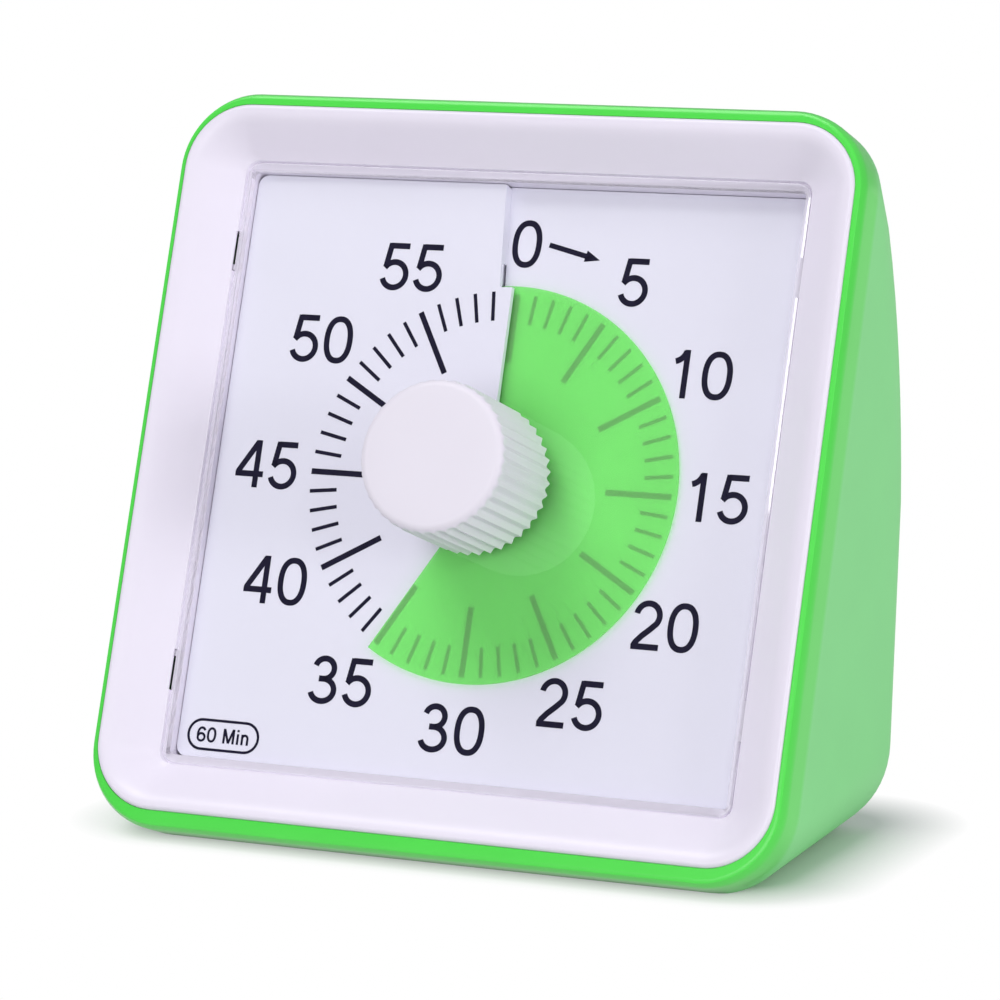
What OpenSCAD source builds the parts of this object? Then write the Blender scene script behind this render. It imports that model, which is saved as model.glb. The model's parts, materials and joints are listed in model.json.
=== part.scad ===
// Desk-top visual countdown timer: a wedge-shaped case with a tilted square face,
// a flexible one-turn disc that winds out over a spiral dial plate, and a
// battery movement that winds it back in.
// Millimetres. Z up, front towards -Y, origin at the middle of the footprint.
// "Face" coordinates: x across, y up the tilted face, z out of the face,
// with their origin on the spindle axis at the middle height of the dial plate.

/* [Case] */
// Width of the case, and of the square outline of its rim
case_w = 77.1; // [76.8:0.1:90]
// Height of the rim above and below the bezel
rim_end = 1.7; // [1.4:0.05:2]
// Overall depth of the foot, front edge to back
case_depth = 40.6; // [40:0.1:48]
// Lean of the face back from upright, degrees
tilt = 19.5; // [15:0.5:22]
// Height of the dial's centre above the table
dial_h = 36.9; // [36.6:0.1:37.2]
// Corner radius of the rim's outline
corner_r = 8.4; // [8:0.1:10]
// Wall thickness of the green shell
wall = 1.7; // [1.2:0.1:2.2]
// Rounding of the back's upright corners
back_round = 4.9; // [4:0.1:6]
// Rounding of the foot's side edges
foot_side_round = 9.5; // [6:0.1:10]
// Rounding of the foot's rear edge
foot_rear_round = 4; // [2:0.1:4.5]
// Height at which the square rim ends, above the middle of the dial plate
rim_back = 0; // [-0.5:0.1:1]
// Height of the rim's rounded front edge
rim_round = 1.5; // [0.5:0.1:1.8]
// How far that rounding draws the rim in
rim_inset = 0.8; // [0.4:0.05:0.85]
// Height of the rim's front above the middle of the dial plate
rim_front = 5.5; // [4.8:0.1:5.7]

/* [Bezel] */
// Width of the case's rim beside the bezel
rim_w = 0.95; // [0.85:0.05:1.5]
// Corner radius of the bezel's outline
bezel_corner = 7; // [6:0.1:8]
// Distance from the spindle up to the middle of the bezel
bezel_up = 0.25; // [0:0.05:0.3]
// Height of the bezel's crest above the middle of the dial plate
bezel_crest = 5.8; // [5.6:0.1:6.6]
// Height of the window's lip above the middle of the dial plate
bezel_lip = 2.3; // [2.25:0.05:2.8]
// Width of the bezel's border beside the window
border_side = 5.65; // [5.5:0.05:5.8]
// Width of the bezel's border above and below the window
border_end = 5.25; // [5.1:0.05:5.6]
// Thickness of the bezel's skin
bezel_skin = 1.5; // [1:0.1:1.8]
// Width of the ledge that carries the lens
ledge = 0.65; // [0.5:0.05:0.8]

/* [Lens] */
// Thickness of the clear lens
lens_t = 0.8; // [0.6:0.05:0.8]
// Clearance around the lens
lens_gap = 0.15; // [0.1:0.05:0.25]
// Length of each of the lens's four snap tabs
tab_len = 4.1; // [3:0.1:6]
// Distance of the snap tabs from the middle of the face
tab_y = 22.5; // [18:0.5:24]

/* [Dial] */
// Rise of the spiral dial plate in one turn
pitch = 1.4; // [1.3:0.02:1.5]
// Thickness of the dial plate
plate_t = 0.6; // [0.4:0.05:0.7]
// Radius of the time disc
disc_r = 20.9; // [18:0.1:22]
// Thickness of the time disc
disc_t = 0.25; // [0.15:0.05:0.3]
// Reach of the open slot past the disc's edge
slot_reach = 2.4; // [1:0.1:4]
// Time that the disc shows at rest, in minutes
rest_minutes = 35.2; // [5:0.1:55]

/* [Knob] */
// Radius over the knob's ribs
knob_r = 7.95; // [6:0.05:10]
// Depth of the grooves between the ribs
rib_depth = 0.4; // [0.2:0.05:0.6]
// Number of ribs
ribs = 40; // [24:1:60]
// Height of the knob
knob_h = 12.3; // [10:0.1:16]
// Gap between the knob and the lens
knob_gap = 0.4; // [0.3:0.1:1]
// Rounding of the knob's front edge
knob_round = 0.9; // [0.4:0.1:1.4]

/* [Spindle] */
// Radius of the spindle
spindle_r = 2; // [1.8:0.05:2.2]
// Radius of the hub that carries the disc
hub_r = 4.2; // [3.6:0.1:5]
// Radial clearance of a running fit
run_gap = 0.06; // [0.03:0.01:0.1]
// Gap between parts that must stay clear of each other
air = 0.3; // [0.2:0.05:0.4]

/* [Movement] */
// Width of the movement's housing
move_w = 32; // [31:0.5:34]
// Reach of the housing above the spindle
move_up = 16; // [15.5:0.5:17]
// Reach of the housing below the spindle
move_down = 11; // [10.5:0.5:12]
// Depth of the housing
move_d = 9.4; // [9:0.1:9.8]
// Wall thickness of the housing
move_wall = 1; // [0.8:0.1:1.2]
// Thickness of a gear wheel
gear_t = 0.8; // [0.5:0.05:0.9]
// Tooth size (module) of the drive wheel and its pinion
drive_module = 0.35; // [0.34:0.005:0.36]
// Tooth size (module) of the fine gears
fine_module = 0.21; // [0.205:0.005:0.215]
// Radius of the gear wheels' pivots
pivot_r = 0.4; // [0.3:0.05:0.45]

/* [Power] */
// Radius of the battery cell
cell_r = 7.25; // [5.25:0.05:7.4]
// Length of the battery cell's can
cell_len = 49.2; // [43:0.1:50]
// Free space around the cell
cell_gap = 0.4; // [0.3:0.1:0.8]
// Height of the battery door's top edge above the table
door_top = 19.8; // [19.6:0.1:20.4]
// Height of the battery door's bottom edge above the table
door_bottom = 5.2; // [4.8:0.1:5.4]
// Width of the battery door
door_w = 56; // [54:0.5:60]
// Thickness of the battery door
door_t = 1.5; // [1.2:0.1:1.8]
// Gap around the battery door
door_gap = 0.25; // [0.2:0.05:0.4]

/* [Sound] */
// Radius of the piezo buzzer's holder
buzzer_r = 8; // [6:0.5:9]
// Distance of the buzzer and the sound switch from the case's sides
sound_inset = 13.55; // [11.5:0.05:14.5]
// Height of the buzzer and of the sound switch above the table
sound_h = 36.5; // [33:0.5:37]
// Length of the sound switch's thumb piece
thumb_len = 5; // [4:0.5:6]
// Travel between two neighbouring positions of the sound switch
switch_step = 2; // [1.5:0.1:2.5]
// Width of the circuit board
board_w = 44; // [36:1:50]
// Height of the circuit board
board_h = 11; // [9:0.5:12]

/* [Hidden] */
$fn = 64;
hair = 0.02;

// ---- Places worked out from the driving sizes ----
case_half = case_w / 2;
bezel_w = case_w - 2 * rim_w;
face_h = bezel_w + 2 * rim_end;
window_w = bezel_w - 2 * border_side;
window_h = bezel_w - 2 * border_end;
bezel_edge = 1.1;
bezel_reach = (bezel_w / 2 - bezel_up - bezel_edge) * sin(tilt)
    + (bezel_crest - bezel_edge) * cos(tilt) + bezel_edge;
rim_reach = (face_h / 2 - rim_inset) * sin(tilt) + rim_front * cos(tilt);
front_reach = max(bezel_reach, rim_reach);
dial_y = front_reach - case_depth / 2;
waist_h = dial_h - 2.3;
back_bulge = 19.7;
back_rise = 43.9;
back_lean = 5.3;
side_draft = 0.3;

ledge_z = bezel_lip - lens_gap - lens_t;
window_half = window_w / 2;
ledge_half = window_half - ledge;
inner_wall_half = window_half + 0.8;
tab_t = 0.7;
tab_x = window_half + 0.15;
tab_slot_w = tab_t + 0.6;
plate_half = ledge_half - 0.2;
plate_back = -2.2;
flange_t = 0.8;
flange_x = inner_wall_half - 0.2;
flange_y = inner_wall_half - 0.9;
chassis_front = plate_back - flange_t;
chassis_t = 1;
chassis_back = chassis_front - chassis_t;
chassis_post_x = inner_wall_half + 1.4;
chassis_post_y = 13;
chassis_up = plate_half - 5.1;
chassis_down = plate_half - 2.1;
chassis_window_x = plate_half - 7.1;
post_r = 1.35;

plate_reach = plate_half * 1.45;
spiral_step = 3;
slot_r = disc_r + slot_reach;
flap_r = disc_r - 0.3;
hub_hole_r = hub_r + 0.4;
slot_angle = -4.3;
flap_angle = -0.5;
disc_lift = (pitch - plate_t) / 2;
hub_back = -1.05;
hub_front = 0.65;

knob_back = bezel_lip - lens_gap + knob_gap;
knob_front = knob_back + knob_h;
knob_grip = 9;

move_back = chassis_back - move_d;
level_1 = chassis_back - move_wall - gear_t - 0.45;
level_step = gear_t + 0.6;
collar_z = level_1 - 1.2;
collar_t = 0.55;
level_2 = collar_z - gear_t - 0.15;
level_3 = level_2 - level_step;
level_4 = level_3 - level_step;
drive_teeth = 40;
drive_pinion_teeth = 10;
third_teeth = 64;
fine_pinion_teeth = 8;
second_teeth = 60;
first_teeth = 60;
arbor_r = 1.2;
clutch_r = 4.4;

drive_reach = drive_module * (drive_teeth + drive_pinion_teeth) / 2;
third_reach = fine_module * (third_teeth + fine_pinion_teeth) / 2;
fine_reach = fine_module * (second_teeth + fine_pinion_teeth) / 2;
// Bearings of each gear from the one before it, degrees from the x axis
third_bearing = 140;
second_bearing = 18;
first_bearing = -24;
rotor_bearing = -84;
third_at = drive_reach * [cos(third_bearing), sin(third_bearing)];
second_at = third_at + third_reach * [cos(second_bearing), sin(second_bearing)];
first_at = second_at + fine_reach * [cos(first_bearing), sin(first_bearing)];
rotor_at = first_at + fine_reach * [cos(rotor_bearing), sin(rotor_bearing)];
rotor_r = 1.9;
stator_t = 0.7;
stator_z = level_3 - 0.4;
coil_at = [-1, -7.6];
coil_len = 15;
coil_r = 2;
coil_z = stator_z + stator_t / 2;
coil_wire_x = [coil_at[0] - coil_len / 2 + 1.2, coil_at[0] + coil_len / 2 - 1.2];
stator_post_at = [[coil_at[0] - coil_len / 2 - 1.3, coil_at[1]], [rotor_at[0] + 0.3, coil_at[1]]];

cell_back_gap = 0.5;
back_y = case_depth / 2;
cell_h = (door_top + door_bottom) / 2 - 0.3;
cell_y = back_at(cell_h) - door_t - cell_back_gap - cell_r;
tub_wall = 1;
tub_r = cell_r + cell_gap + tub_wall;
bay_half = cell_len / 2 + 2.6;
contact_t = 0.4;
hinge_r = door_t / 2;
pin_r = 0.5;
pin_len = 0.9;

board_z = chassis_back - 1.2;
board_t = 1;
board_y = -21;

screw_x = case_half - 11.55;
screw_y = 20;
screw_seat_z = chassis_back - 7.8;
screw_r = 1.1;
screw_head_r = 2.1;
screw_head_t = 1.4;

buzzer_x = case_half - sound_inset;
switch_x = -buzzer_x;
switch_body = [11, 3.6, 5];
wire_r = 0.45;

// ---- Frames ----
module at_dial() translate([0, dial_y, dial_h]) rotate([90 - tilt, 0, 0]) children();

// From the spindle to the middle of the bezel
module raised() translate([0, bezel_up, 0]) children();

// A point of the face frame, given in the case's own frame
function face_point(x, y, z) = [x,
    dial_y + y * sin(tilt) - z * cos(tilt),
    dial_h + y * cos(tilt) + z * sin(tilt)];

// ---- Shared shapes ----
module rounded_square(w, h, r) {
    x = w / 2 - r;
    y = h / 2 - r;
    for (sx = [-1, 1], sy = [-1, 1]) translate([sx * x, sy * y]) circle(r = r);
    square([2 * x, h], center = true);
    square([w, 2 * y], center = true);
}

module slab(w, h, r, z0, z1) translate([0, 0, z0]) linear_extrude(z1 - z0) rounded_square(w, h, r);

// A slab whose front edge is rounded by e
module soft_slab(w, h, r, z0, z1, e) {
    steps = 4;
    hull() {
        slab(w, h, r, z0, z1 - e);
        for (k = [1 : steps]) {
            a = 90 * k / steps;
            inset = e * (1 - cos(a));
            slab(w - 2 * inset, h - 2 * inset, r - inset, z1 - e, z1 - e + e * sin(a));
        }
    }
}

// Distance from the centre to the edge of a square of half-size h, at angle a
function square_reach(h, a) = h / max(abs(sin(a)), abs(cos(a)));

// Height of the dial's spiral at a, degrees clockwise from twelve o'clock
function spiral(a) = pitch * (a / 360 - 0.5);

// A spiral ring from angle a0 to a1, in facets of spiral_step degrees. inner and
// outer are radii; an inner radius below 0 is an inset from the dial plate's square
// edge instead. Its top is lift above the spiral and its bottom is t under its top,
// or flat at floor_z where that isn't 0.
module spiral_ring(a0, a1, inner, outer, lift, t, floor_z = 0) {
    first = floor(a0 / spiral_step) + 1;
    last = ceil(a1 / spiral_step) - 1;
    angles = [a0, for (k = [first : last]) k * spiral_step, a1];
    function reach(r, a) = r > 0 ? r : square_reach(plate_half + r, a);
    function place(r, a, z) = [reach(r, a) * sin(a), reach(r, a) * cos(a), z];
    function under(a) = floor_z == 0 ? spiral(a) + lift - t : floor_z;
    points = [for (a = angles) each [
        place(inner, a, spiral(a) + lift), place(outer, a, spiral(a) + lift),
        place(outer, a, under(a)), place(inner, a, under(a))]];
    sides = [for (k = [0 : len(angles) - 2], s = [0 : 3])
        let (p = 4 * k + s, q = 4 * k + (s + 1) % 4)
        each [[p, q, q + 4], [p, q + 4, p + 4]]];
    end = 4 * (len(angles) - 1);
    polyhedron(points, concat([[0, 3, 2], [0, 2, 1]], sides,
        [[end, end + 1, end + 2], [end, end + 2, end + 3]]), convexity = 6);
}

// A sector of a ring from angle a0 to a1, for cuts through the spiral
module sector(a0, a1, r_in, r_out, z0, z1) {
    arc = [a0, (a0 + a1) / 2, a1];
    translate([0, 0, z0]) linear_extrude(z1 - z0) polygon(concat(
        [for (a = arc) r_in * [sin(a), cos(a)]],
        [for (k = [2 : -1 : 0]) r_out * [sin(arc[k]), cos(arc[k])]]));
}

// A spur gear with slim, straight-sided teeth, one of them at angle phase
module spur(teeth, m, t, phase) {
    half = 72 / teeth;
    root = m * (teeth / 2 - 1.05);
    tip = m * (teeth / 2 + 0.8);
    points = [for (k = [0 : teeth - 1], c = [[-1.2, root], [-0.45, tip], [0.45, tip], [1.2, root]])
        let (a = phase + 360 * k / teeth + c[0] * half) c[1] * [cos(a), sin(a)]];
    linear_extrude(t) polygon(points);
}

module ring(r_out, r_in, h) difference() {
    cylinder(r = r_out, h = h);
    translate([0, 0, -hair]) cylinder(r = r_in, h = h + 2 * hair);
}

// A wire along a list of points
module wire(path, r = wire_r) {
    for (k = [0 : len(path) - 2]) hull() {
        translate(path[k]) sphere(r = r, $fn = 8);
        translate(path[k + 1]) sphere(r = r, $fn = 8);
    }
}

// A pan-head screw, tip downwards, its head's seat at z = 0
module screw(shank_r, length, head_r, head_t) {
    difference() {
        union() {
            translate([0, 0, -length]) cylinder(r = shank_r, h = length + hair);
            cylinder(r = head_r, h = head_t);
        }
        for (a = [0, 90]) rotate([0, 0, a])
            translate([-head_r * 0.6, -0.25, head_t / 2]) cube([head_r * 1.2, 0.5, head_t]);
    }
}

// ---- Outer form ----
// Reach of the back at height h above the table
function back_at(h) = h < waist_h
    ? back_y - (waist_h - h) * tan(back_lean)
    : back_y - back_bulge * (1 - sqrt(max(0, 1 - pow((h - waist_h) / back_rise, 2))));

// Pull-in of the foot's rounded edge at height h, for a rounding of r
function foot_inset(h, r) = h < r ? r - sqrt(r * r - (r - h) * (r - h)) : 0;

// A level slice of the case's body at height h, drawn inwards by t
module body_slice(h, t) {
    half = case_half - side_draft - t - foot_inset(max(h - t, 0), foot_side_round - t);
    rear = back_at(h) - t - foot_inset(max(h - t, 0), foot_rear_round - t);
    front = dial_y + (h - dial_h) * tan(tilt) + t;
    r = max(back_round - t, 1);
    if (rear - front > r + 1)
        translate([0, 0, h]) linear_extrude(hair) {
            for (s = [-1, 1]) translate([s * (half - r), rear - r]) circle(r = r, $fn = 32);
            translate([-half, front]) square([2 * half, rear - r - front]);
        }
}

// The case's whole outer form, drawn inwards by t
module case_form(t) {
    low = t;
    intersection() {
        hull() {
            for (a = [0 : 6 : 90]) body_slice(low + foot_side_round * (1 - cos(a)), t);
            body_slice(low + 2 * foot_side_round, t);
            for (h = [waist_h : 3.6 : dial_h + 28]) body_slice(h, t);
            at_dial() {
                slab(case_w - 2 * t, face_h - 2 * t, corner_r - t, rim_back, rim_front - rim_round);
                slab(case_w - 2 * t - 1, face_h - 2 * t - 1, corner_r - t, rim_back - 2 + t, rim_back);
                if (t == 0) for (a = [30, 60, 90]) {
                    inset = rim_inset * (1 - cos(a));
                    rise = rim_round * sin(a);
                    slab(case_w - 2 * inset, face_h - 2 * inset, corner_r - inset,
                        rim_front - rim_round, rim_front - rim_round + rise);
                }
            }
        }
        translate([-case_w, -case_depth, low]) cube([2 * case_w, 2 * case_depth, 2 * face_h]);
    }
}

// The space that the bezel fills at the front of the shell
module bezel_pocket() at_dial() raised()
    slab(bezel_w + 0.1, bezel_w + 0.1, bezel_corner, rim_back, bezel_crest + 5);

// ---- Case ----
module front_bezel() color("ghostwhite") at_dial() difference() {
    union() {
        raised() {
            difference() {
                soft_slab(bezel_w, bezel_w, bezel_corner, rim_back + 0.1, bezel_crest, bezel_edge);
                // Hollow behind the skin
                slab(bezel_w - 2 * bezel_skin, bezel_w - 2 * bezel_skin, bezel_corner - bezel_skin,
                    rim_back - 1, bezel_lip - bezel_skin);
            }
            // Wall around the window, down to the dial plate's flange
            slab(2 * inner_wall_half, 2 * inner_wall_half, 2.4, plate_back, bezel_lip - bezel_skin + hair);
            // Tongues that locate the bezel's foot
            for (sx = [-1, 1]) translate([sx * 20 - 3, -bezel_w / 2 + bezel_skin - 0.2, rim_back - 1.7])
                cube([6, 1, 3]);
        }
        for (sx = [-1, 1], sy = [-1, 1])
            translate([sx * chassis_post_x, sy * chassis_post_y, chassis_front])
                cylinder(r = post_r, h = bezel_lip - bezel_skin - chassis_front + hair);
    }
    raised() {
        // Dished front, falling to the window's lip
        hull() {
            slab(window_w, window_h, 1.6, bezel_lip, bezel_lip + hair);
            slab(window_w + 4.8, window_h + 4.4, 3.6, bezel_lip + 2, bezel_lip + 2 + hair);
        }
        hull() {
            slab(window_w + 4.8, window_h + 4.4, 3.6, bezel_lip + 2, bezel_lip + 2 + hair);
            slab(window_w + 9, window_h + 8.2, 5.6, bezel_crest, bezel_crest + 1);
        }
        // Recess and ledge for the lens
        slab(window_w, window_h, 1.6, ledge_z, bezel_crest);
        slab(2 * ledge_half, 2 * ledge_half, 1.2, plate_back - 1, bezel_crest);
        // Slots for the lens's snap tabs
        for (sx = [-1, 1], sy = [-1, 1])
            translate([sx * (tab_x - 0.1) - tab_slot_w / 2, sy * tab_y - tab_len / 2 - 0.1, -1])
                cube([tab_slot_w, tab_len + 0.2, bezel_crest]);
    }
    // Screw holes
    for (sx = [-1, 1], sy = [-1, 1])
        translate([sx * chassis_post_x, sy * chassis_post_y, chassis_front - 1]) cylinder(r = 0.7, h = 4);
}

// The battery door's frame: y out of the sloping back, z up it
module at_back() translate([0, back_at(0), 0]) rotate([-back_lean, 0, 0]) children();

module door_outline(grow) translate([0, (door_bottom + door_top) / 2])
    rounded_square(door_w + 2 * grow, door_top - door_bottom + 2 * grow, 1.2 + grow);

module rear_shell() color("limegreen") difference() {
    union() {
        difference() {
            case_form(0);
            case_form(wall);
            bezel_pocket();
        }
        intersection() {
            case_form(wall - 0.2);
            union() {
                // Battery tub
                translate([-bay_half - tub_wall, cell_y - tub_r, wall - 0.2])
                    cube([2 * (bay_half + tub_wall), back_y, cell_h + tub_r - wall + 0.2]);
                // Posts for the two case screws
                for (sx = [-1, 1]) at_dial() translate([sx * screw_x, screw_y, -case_depth])
                    cylinder(r = screw_head_r + 0.9, h = case_depth + chassis_back - 3 - air);
                // Ring that holds the buzzer
                translate([buzzer_x, back_at(sound_h) - wall - 2.6, sound_h]) rotate([-90, 0, 0])
                    ring(buzzer_r + 1.1, buzzer_r + 0.1, 6);
                // Rails of the sound switch
                for (s = [-1, 1]) translate([switch_x - switch_body[0] / 2 - 1,
                        back_at(sound_h) - wall - 2.6, sound_h + s * (switch_body[2] / 2 + 0.6) - 0.5])
                    cube([switch_body[0] + 2, 6, 1]);
            }
        }
    }
    // Space for the cell, open to the door
    translate([-bay_half, cell_y, cell_h]) rotate([0, 90, 0]) cylinder(r = cell_r + cell_gap, h = 2 * bay_half);
    translate([-bay_half, cell_y, cell_h - cell_r - cell_gap])
        cube([2 * bay_half, case_depth, 2 * (cell_r + cell_gap)]);
    for (sx = [-1, 1]) {
        translate([sx * (bay_half - 1) - 1, cell_y - 6.3, cell_h - 6.3]) cube([2, 12.6, 12.6]);
        translate([sx * (bay_half - contact_t - wire_r), cell_y - 5.4, cell_h])
            cylinder(r = wire_r + 0.2, h = tub_r + 1, $fn = 24);
    }
    // Seat of the battery door, bearings of its pins and notch for its tab
    at_back() {
        translate([0, 2, 0]) rotate([90, 0, 0]) linear_extrude(2 + door_t + 0.15) door_outline(door_gap);
        // Square lower corners, for the open door's own to swing into
        translate([-door_w / 2 - door_gap, -door_t - 0.15, door_bottom - door_gap])
            cube([door_w + 2 * door_gap, door_t + 2, 2]);
        translate([-door_w / 2 - pin_len - 0.2, -hinge_r, door_bottom + hinge_r]) rotate([0, 90, 0])
            cylinder(r = pin_r + run_gap, h = door_w + 2 * pin_len + 0.4, $fn = 32);
        translate([-4, -door_t - 0.15, door_top - 1]) cube([8, 4, 2.5]);
    }
    // Screw clearance and heads
    for (sx = [-1, 1]) at_dial() translate([sx * screw_x, screw_y, 0]) {
        translate([0, 0, -case_depth]) cylinder(r = screw_r + 0.2, h = case_depth + 1);
        translate([0, 0, -case_depth]) cylinder(r = screw_head_r + 0.3, h = case_depth + screw_seat_z);
    }
    // Sound holes
    for (ring_r = [0, 2.4, 4.8], k = [0 : max(0, round(ring_r * 2.5) - 1)]) {
        a = 360 * k / max(1, round(ring_r * 2.5));
        translate([buzzer_x + ring_r * cos(a), 0, sound_h + ring_r * sin(a)]) rotate([-90, 0, 0])
            cylinder(r = 0.6, h = case_depth, $fn = 24);
    }
    // Finger recess and window for the switch's thumb piece
    translate([switch_x, back_y - 0.6, sound_h]) rotate([-90, 0, 0])
        linear_extrude(2) rounded_square(thumb_len + 2 * switch_step + 4, 6, 2);
    translate([switch_x - thumb_len / 2 - switch_step - 0.3, 0, sound_h - 1.6])
        cube([thumb_len + 2 * switch_step + 0.6, case_depth, 3.2]);
}

module lens() color("white", 0.25) at_dial() {
    front = bezel_lip - lens_gap;
    difference() {
        raised() slab(window_w - 2 * lens_gap, window_h - 2 * lens_gap, 1.45, front - lens_t, front);
        translate([0, 0, front - 2 * lens_t]) cylinder(r = spindle_r + air, h = 3 * lens_t);
    }
    raised() for (sx = [-1, 1], sy = [-1, 1])
        translate([sx * tab_x - tab_t / 2, sy * tab_y - tab_len / 2, -0.8])
            cube([tab_t, tab_len, front + 0.8]);
}

// ---- Dial ----
module dial_plate() color("ghostwhite") at_dial() {
    high = spiral(360 + slot_angle);
    intersection() {
        raised() linear_extrude(20, center = true) rounded_square(2 * plate_half, 2 * plate_half, 1.2);
        union() {
            // Spiral floor, with a flap over its own lower end and a slot beside the flap
            difference() {
                spiral_ring(slot_angle - 0.3, 360 + flap_angle, hub_hole_r, plate_reach, 0, plate_t);
                sector(slot_angle - 0.6, 2, flap_r, plate_reach + 2, 0, 5);
                sector(slot_angle - 2, slot_angle + 0.1, hub_hole_r - 2, slot_r, -5, 0);
            }
            // Skirt under the edge
            spiral_ring(slot_angle - 0.3, 360 + slot_angle - 0.8, -1.2, plate_reach, -plate_t / 2, 0,
                plate_back - flange_t / 2);
            // Riser between the spiral's two ends
            rotate([0, 0, -slot_angle]) translate([-plate_t, slot_r, plate_back - flange_t / 2])
                cube([plate_t, plate_reach, high - plate_back + flange_t / 2]);
        }
    }
    // Flange
    translate([0, 0, chassis_front]) linear_extrude(flange_t) difference() {
        square([2 * flange_x, 2 * flange_y], center = true);
        square(2 * (plate_half - 1), center = true);
    }
}

module time_disc() color("lightgreen", 0.85) at_dial()
    spiral_ring(rest_minutes * 6 - 360, rest_minutes * 6 - 0.5, hub_r + 0.005, disc_r,
        disc_lift + disc_t / 2, disc_t);

// Outline of the spindle's two flats
module flats(r, keep) intersection() {
    circle(r = r);
    square([2 * r, 2 * keep], center = true);
}

module disc_hub() color("ghostwhite") at_dial() translate([0, 0, hub_back]) difference() {
    cylinder(r = hub_r, h = hub_front - hub_back);
    translate([0, 0, -hair]) linear_extrude(hub_front - hub_back + 2 * hair)
        flats(spindle_r + run_gap, spindle_r * 0.8 + run_gap);
}

module spindle() color("whitesmoke") at_dial() {
    keep = spindle_r * 0.8;
    // Round neck in the knob, flats through the hub, journal in the chassis, thin tail
    translate([0, 0, hub_front + 0.65]) cylinder(r = spindle_r, h = knob_back + knob_grip - hub_front - 0.65);
    translate([0, 0, hub_back - 1.2]) linear_extrude(hub_front - hub_back + 2) flats(spindle_r, keep);
    translate([0, 0, chassis_back]) cylinder(r = spindle_r, h = hub_back - 1 - chassis_back);
    translate([0, 0, move_back + move_wall - 0.8]) cylinder(r = arbor_r, h = chassis_back - move_back);
    // Collar behind the drive wheel, with the lug that closes the zero contacts
    translate([0, 0, collar_z]) cylinder(r = arbor_r + 1, h = collar_t);
    rotate([0, 0, 188 - rest_minutes * 6]) translate([0, -0.5, collar_z]) cube([3.9, 1, collar_t]);
}

module knob() color("ghostwhite") at_dial() translate([0, 0, knob_back]) difference() {
    core = knob_r - rib_depth;
    cap_r = core - 0.05;
    union() {
        linear_extrude(knob_h - knob_round) polygon([for (k = [0 : 2 * ribs - 1])
            (k % 2 == 0 ? knob_r : core) * [cos(180 * k / ribs), sin(180 * k / ribs)]]);
        translate([0, 0, knob_h - knob_round - 0.6]) rotate_extrude() union() {
            square([cap_r - knob_round, knob_round + 0.6]);
            square([cap_r, 0.6]);
            translate([cap_r - knob_round, 0.6]) intersection() {
                circle(r = knob_round);
                square(knob_round);
            }
        }
    }
    translate([0, 0, -hair]) cylinder(r = spindle_r, h = knob_grip + hair);
    // Hollow underside around the boss
    translate([0, 0, -hair]) ring(core - 1.4, spindle_r + 1.8, knob_h - 2.5);
}

// ---- Movement ----
movement_screw_at = [[-move_w / 2 + 2.2, -move_down + 2.2], [move_w / 2 - 2.2, move_up - 2.2],
    [-move_w / 2 + 2.2, move_up - 2.2]];
board_screw_at = [[-board_w / 2 + 2, board_y], [board_w / 2 - 2, board_y]];

module chassis_outline() difference() {
    union() {
        translate([-plate_half, -chassis_down]) square([2 * plate_half, chassis_up + chassis_down]);
        for (sx = [-1, 1], sy = [-1, 1]) translate([sx * plate_half, sy * chassis_post_y]) {
            square([2 * (chassis_post_x - plate_half), 3.6], center = true);
            translate([sx * (chassis_post_x - plate_half), 0]) circle(r = 1.8);
        }
    }
    // Lightening windows beside the movement
    for (sx = [-1, 1]) translate([sx * chassis_window_x, 1]) square([8, 24], center = true);
}

module chassis() color("gainsboro") at_dial() difference() {
    union() {
        translate([0, 0, chassis_back]) linear_extrude(chassis_t) chassis_outline();
        // Posts that the case screws bite in
        for (sx = [-1, 1]) translate([sx * screw_x, screw_y, chassis_back - 3]) cylinder(r = 2.3, h = 3 + hair);
    }
    for (sx = [-1, 1]) translate([sx * screw_x, screw_y, chassis_back - 4]) cylinder(r = screw_r, h = 6);
    translate([0, 0, chassis_back - 1]) cylinder(r = spindle_r + run_gap, h = 3);
    for (sx = [-1, 1], sy = [-1, 1]) translate([sx * chassis_post_x, sy * chassis_post_y, chassis_back - 1])
        cylinder(r = 1, h = 3);
    for (p = concat(movement_screw_at, board_screw_at)) translate([p[0], p[1], chassis_back - 1])
        cylinder(r = 0.65, h = 3);
}

module chassis_screws() color("silver") at_dial()
    for (sx = [-1, 1], sy = [-1, 1]) translate([sx * chassis_post_x, sy * chassis_post_y, chassis_back])
        mirror([0, 0, 1]) screw(0.7, chassis_t + 3, 1.5, 0.9);

module movement_outline(inset) translate([-move_w / 2 + inset, -move_down + inset])
    square([move_w - 2 * inset, move_up + move_down - 2 * inset]);

// Holes for the pivots of the wheels and of the rotor
module pivot_holes(z, h) {
    for (p = [third_at, second_at, first_at, rotor_at]) translate([p[0], p[1], z])
        cylinder(r = pivot_r + run_gap, h = h);
}

module movement_front() color("white") at_dial() difference() {
    union() {
        translate([0, 0, chassis_back - move_wall]) linear_extrude(move_wall) movement_outline(0);
        // Walls halfway back
        translate([0, 0, level_3 - 0.6]) linear_extrude(chassis_back - level_3 + 0.6) difference() {
            movement_outline(0);
            movement_outline(move_wall);
        }
        for (p = movement_screw_at) translate([p[0], p[1], level_3 - 0.6])
            cylinder(r = 1.7, h = chassis_back - level_3 + 0.6);
    }
    translate([0, 0, chassis_back - 2]) cylinder(r = spindle_r + air, h = 3);
    pivot_holes(chassis_back - move_wall - 1, 3);
    for (p = movement_screw_at) translate([p[0], p[1], move_back]) cylinder(r = 0.75, h = move_d + 1);
    // Notches for the coil's wires
    for (x = coil_wire_x) translate([x - 0.35, -move_down - 1, coil_z - 1]) cube([0.7, 3, 1.35]);
}

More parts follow.
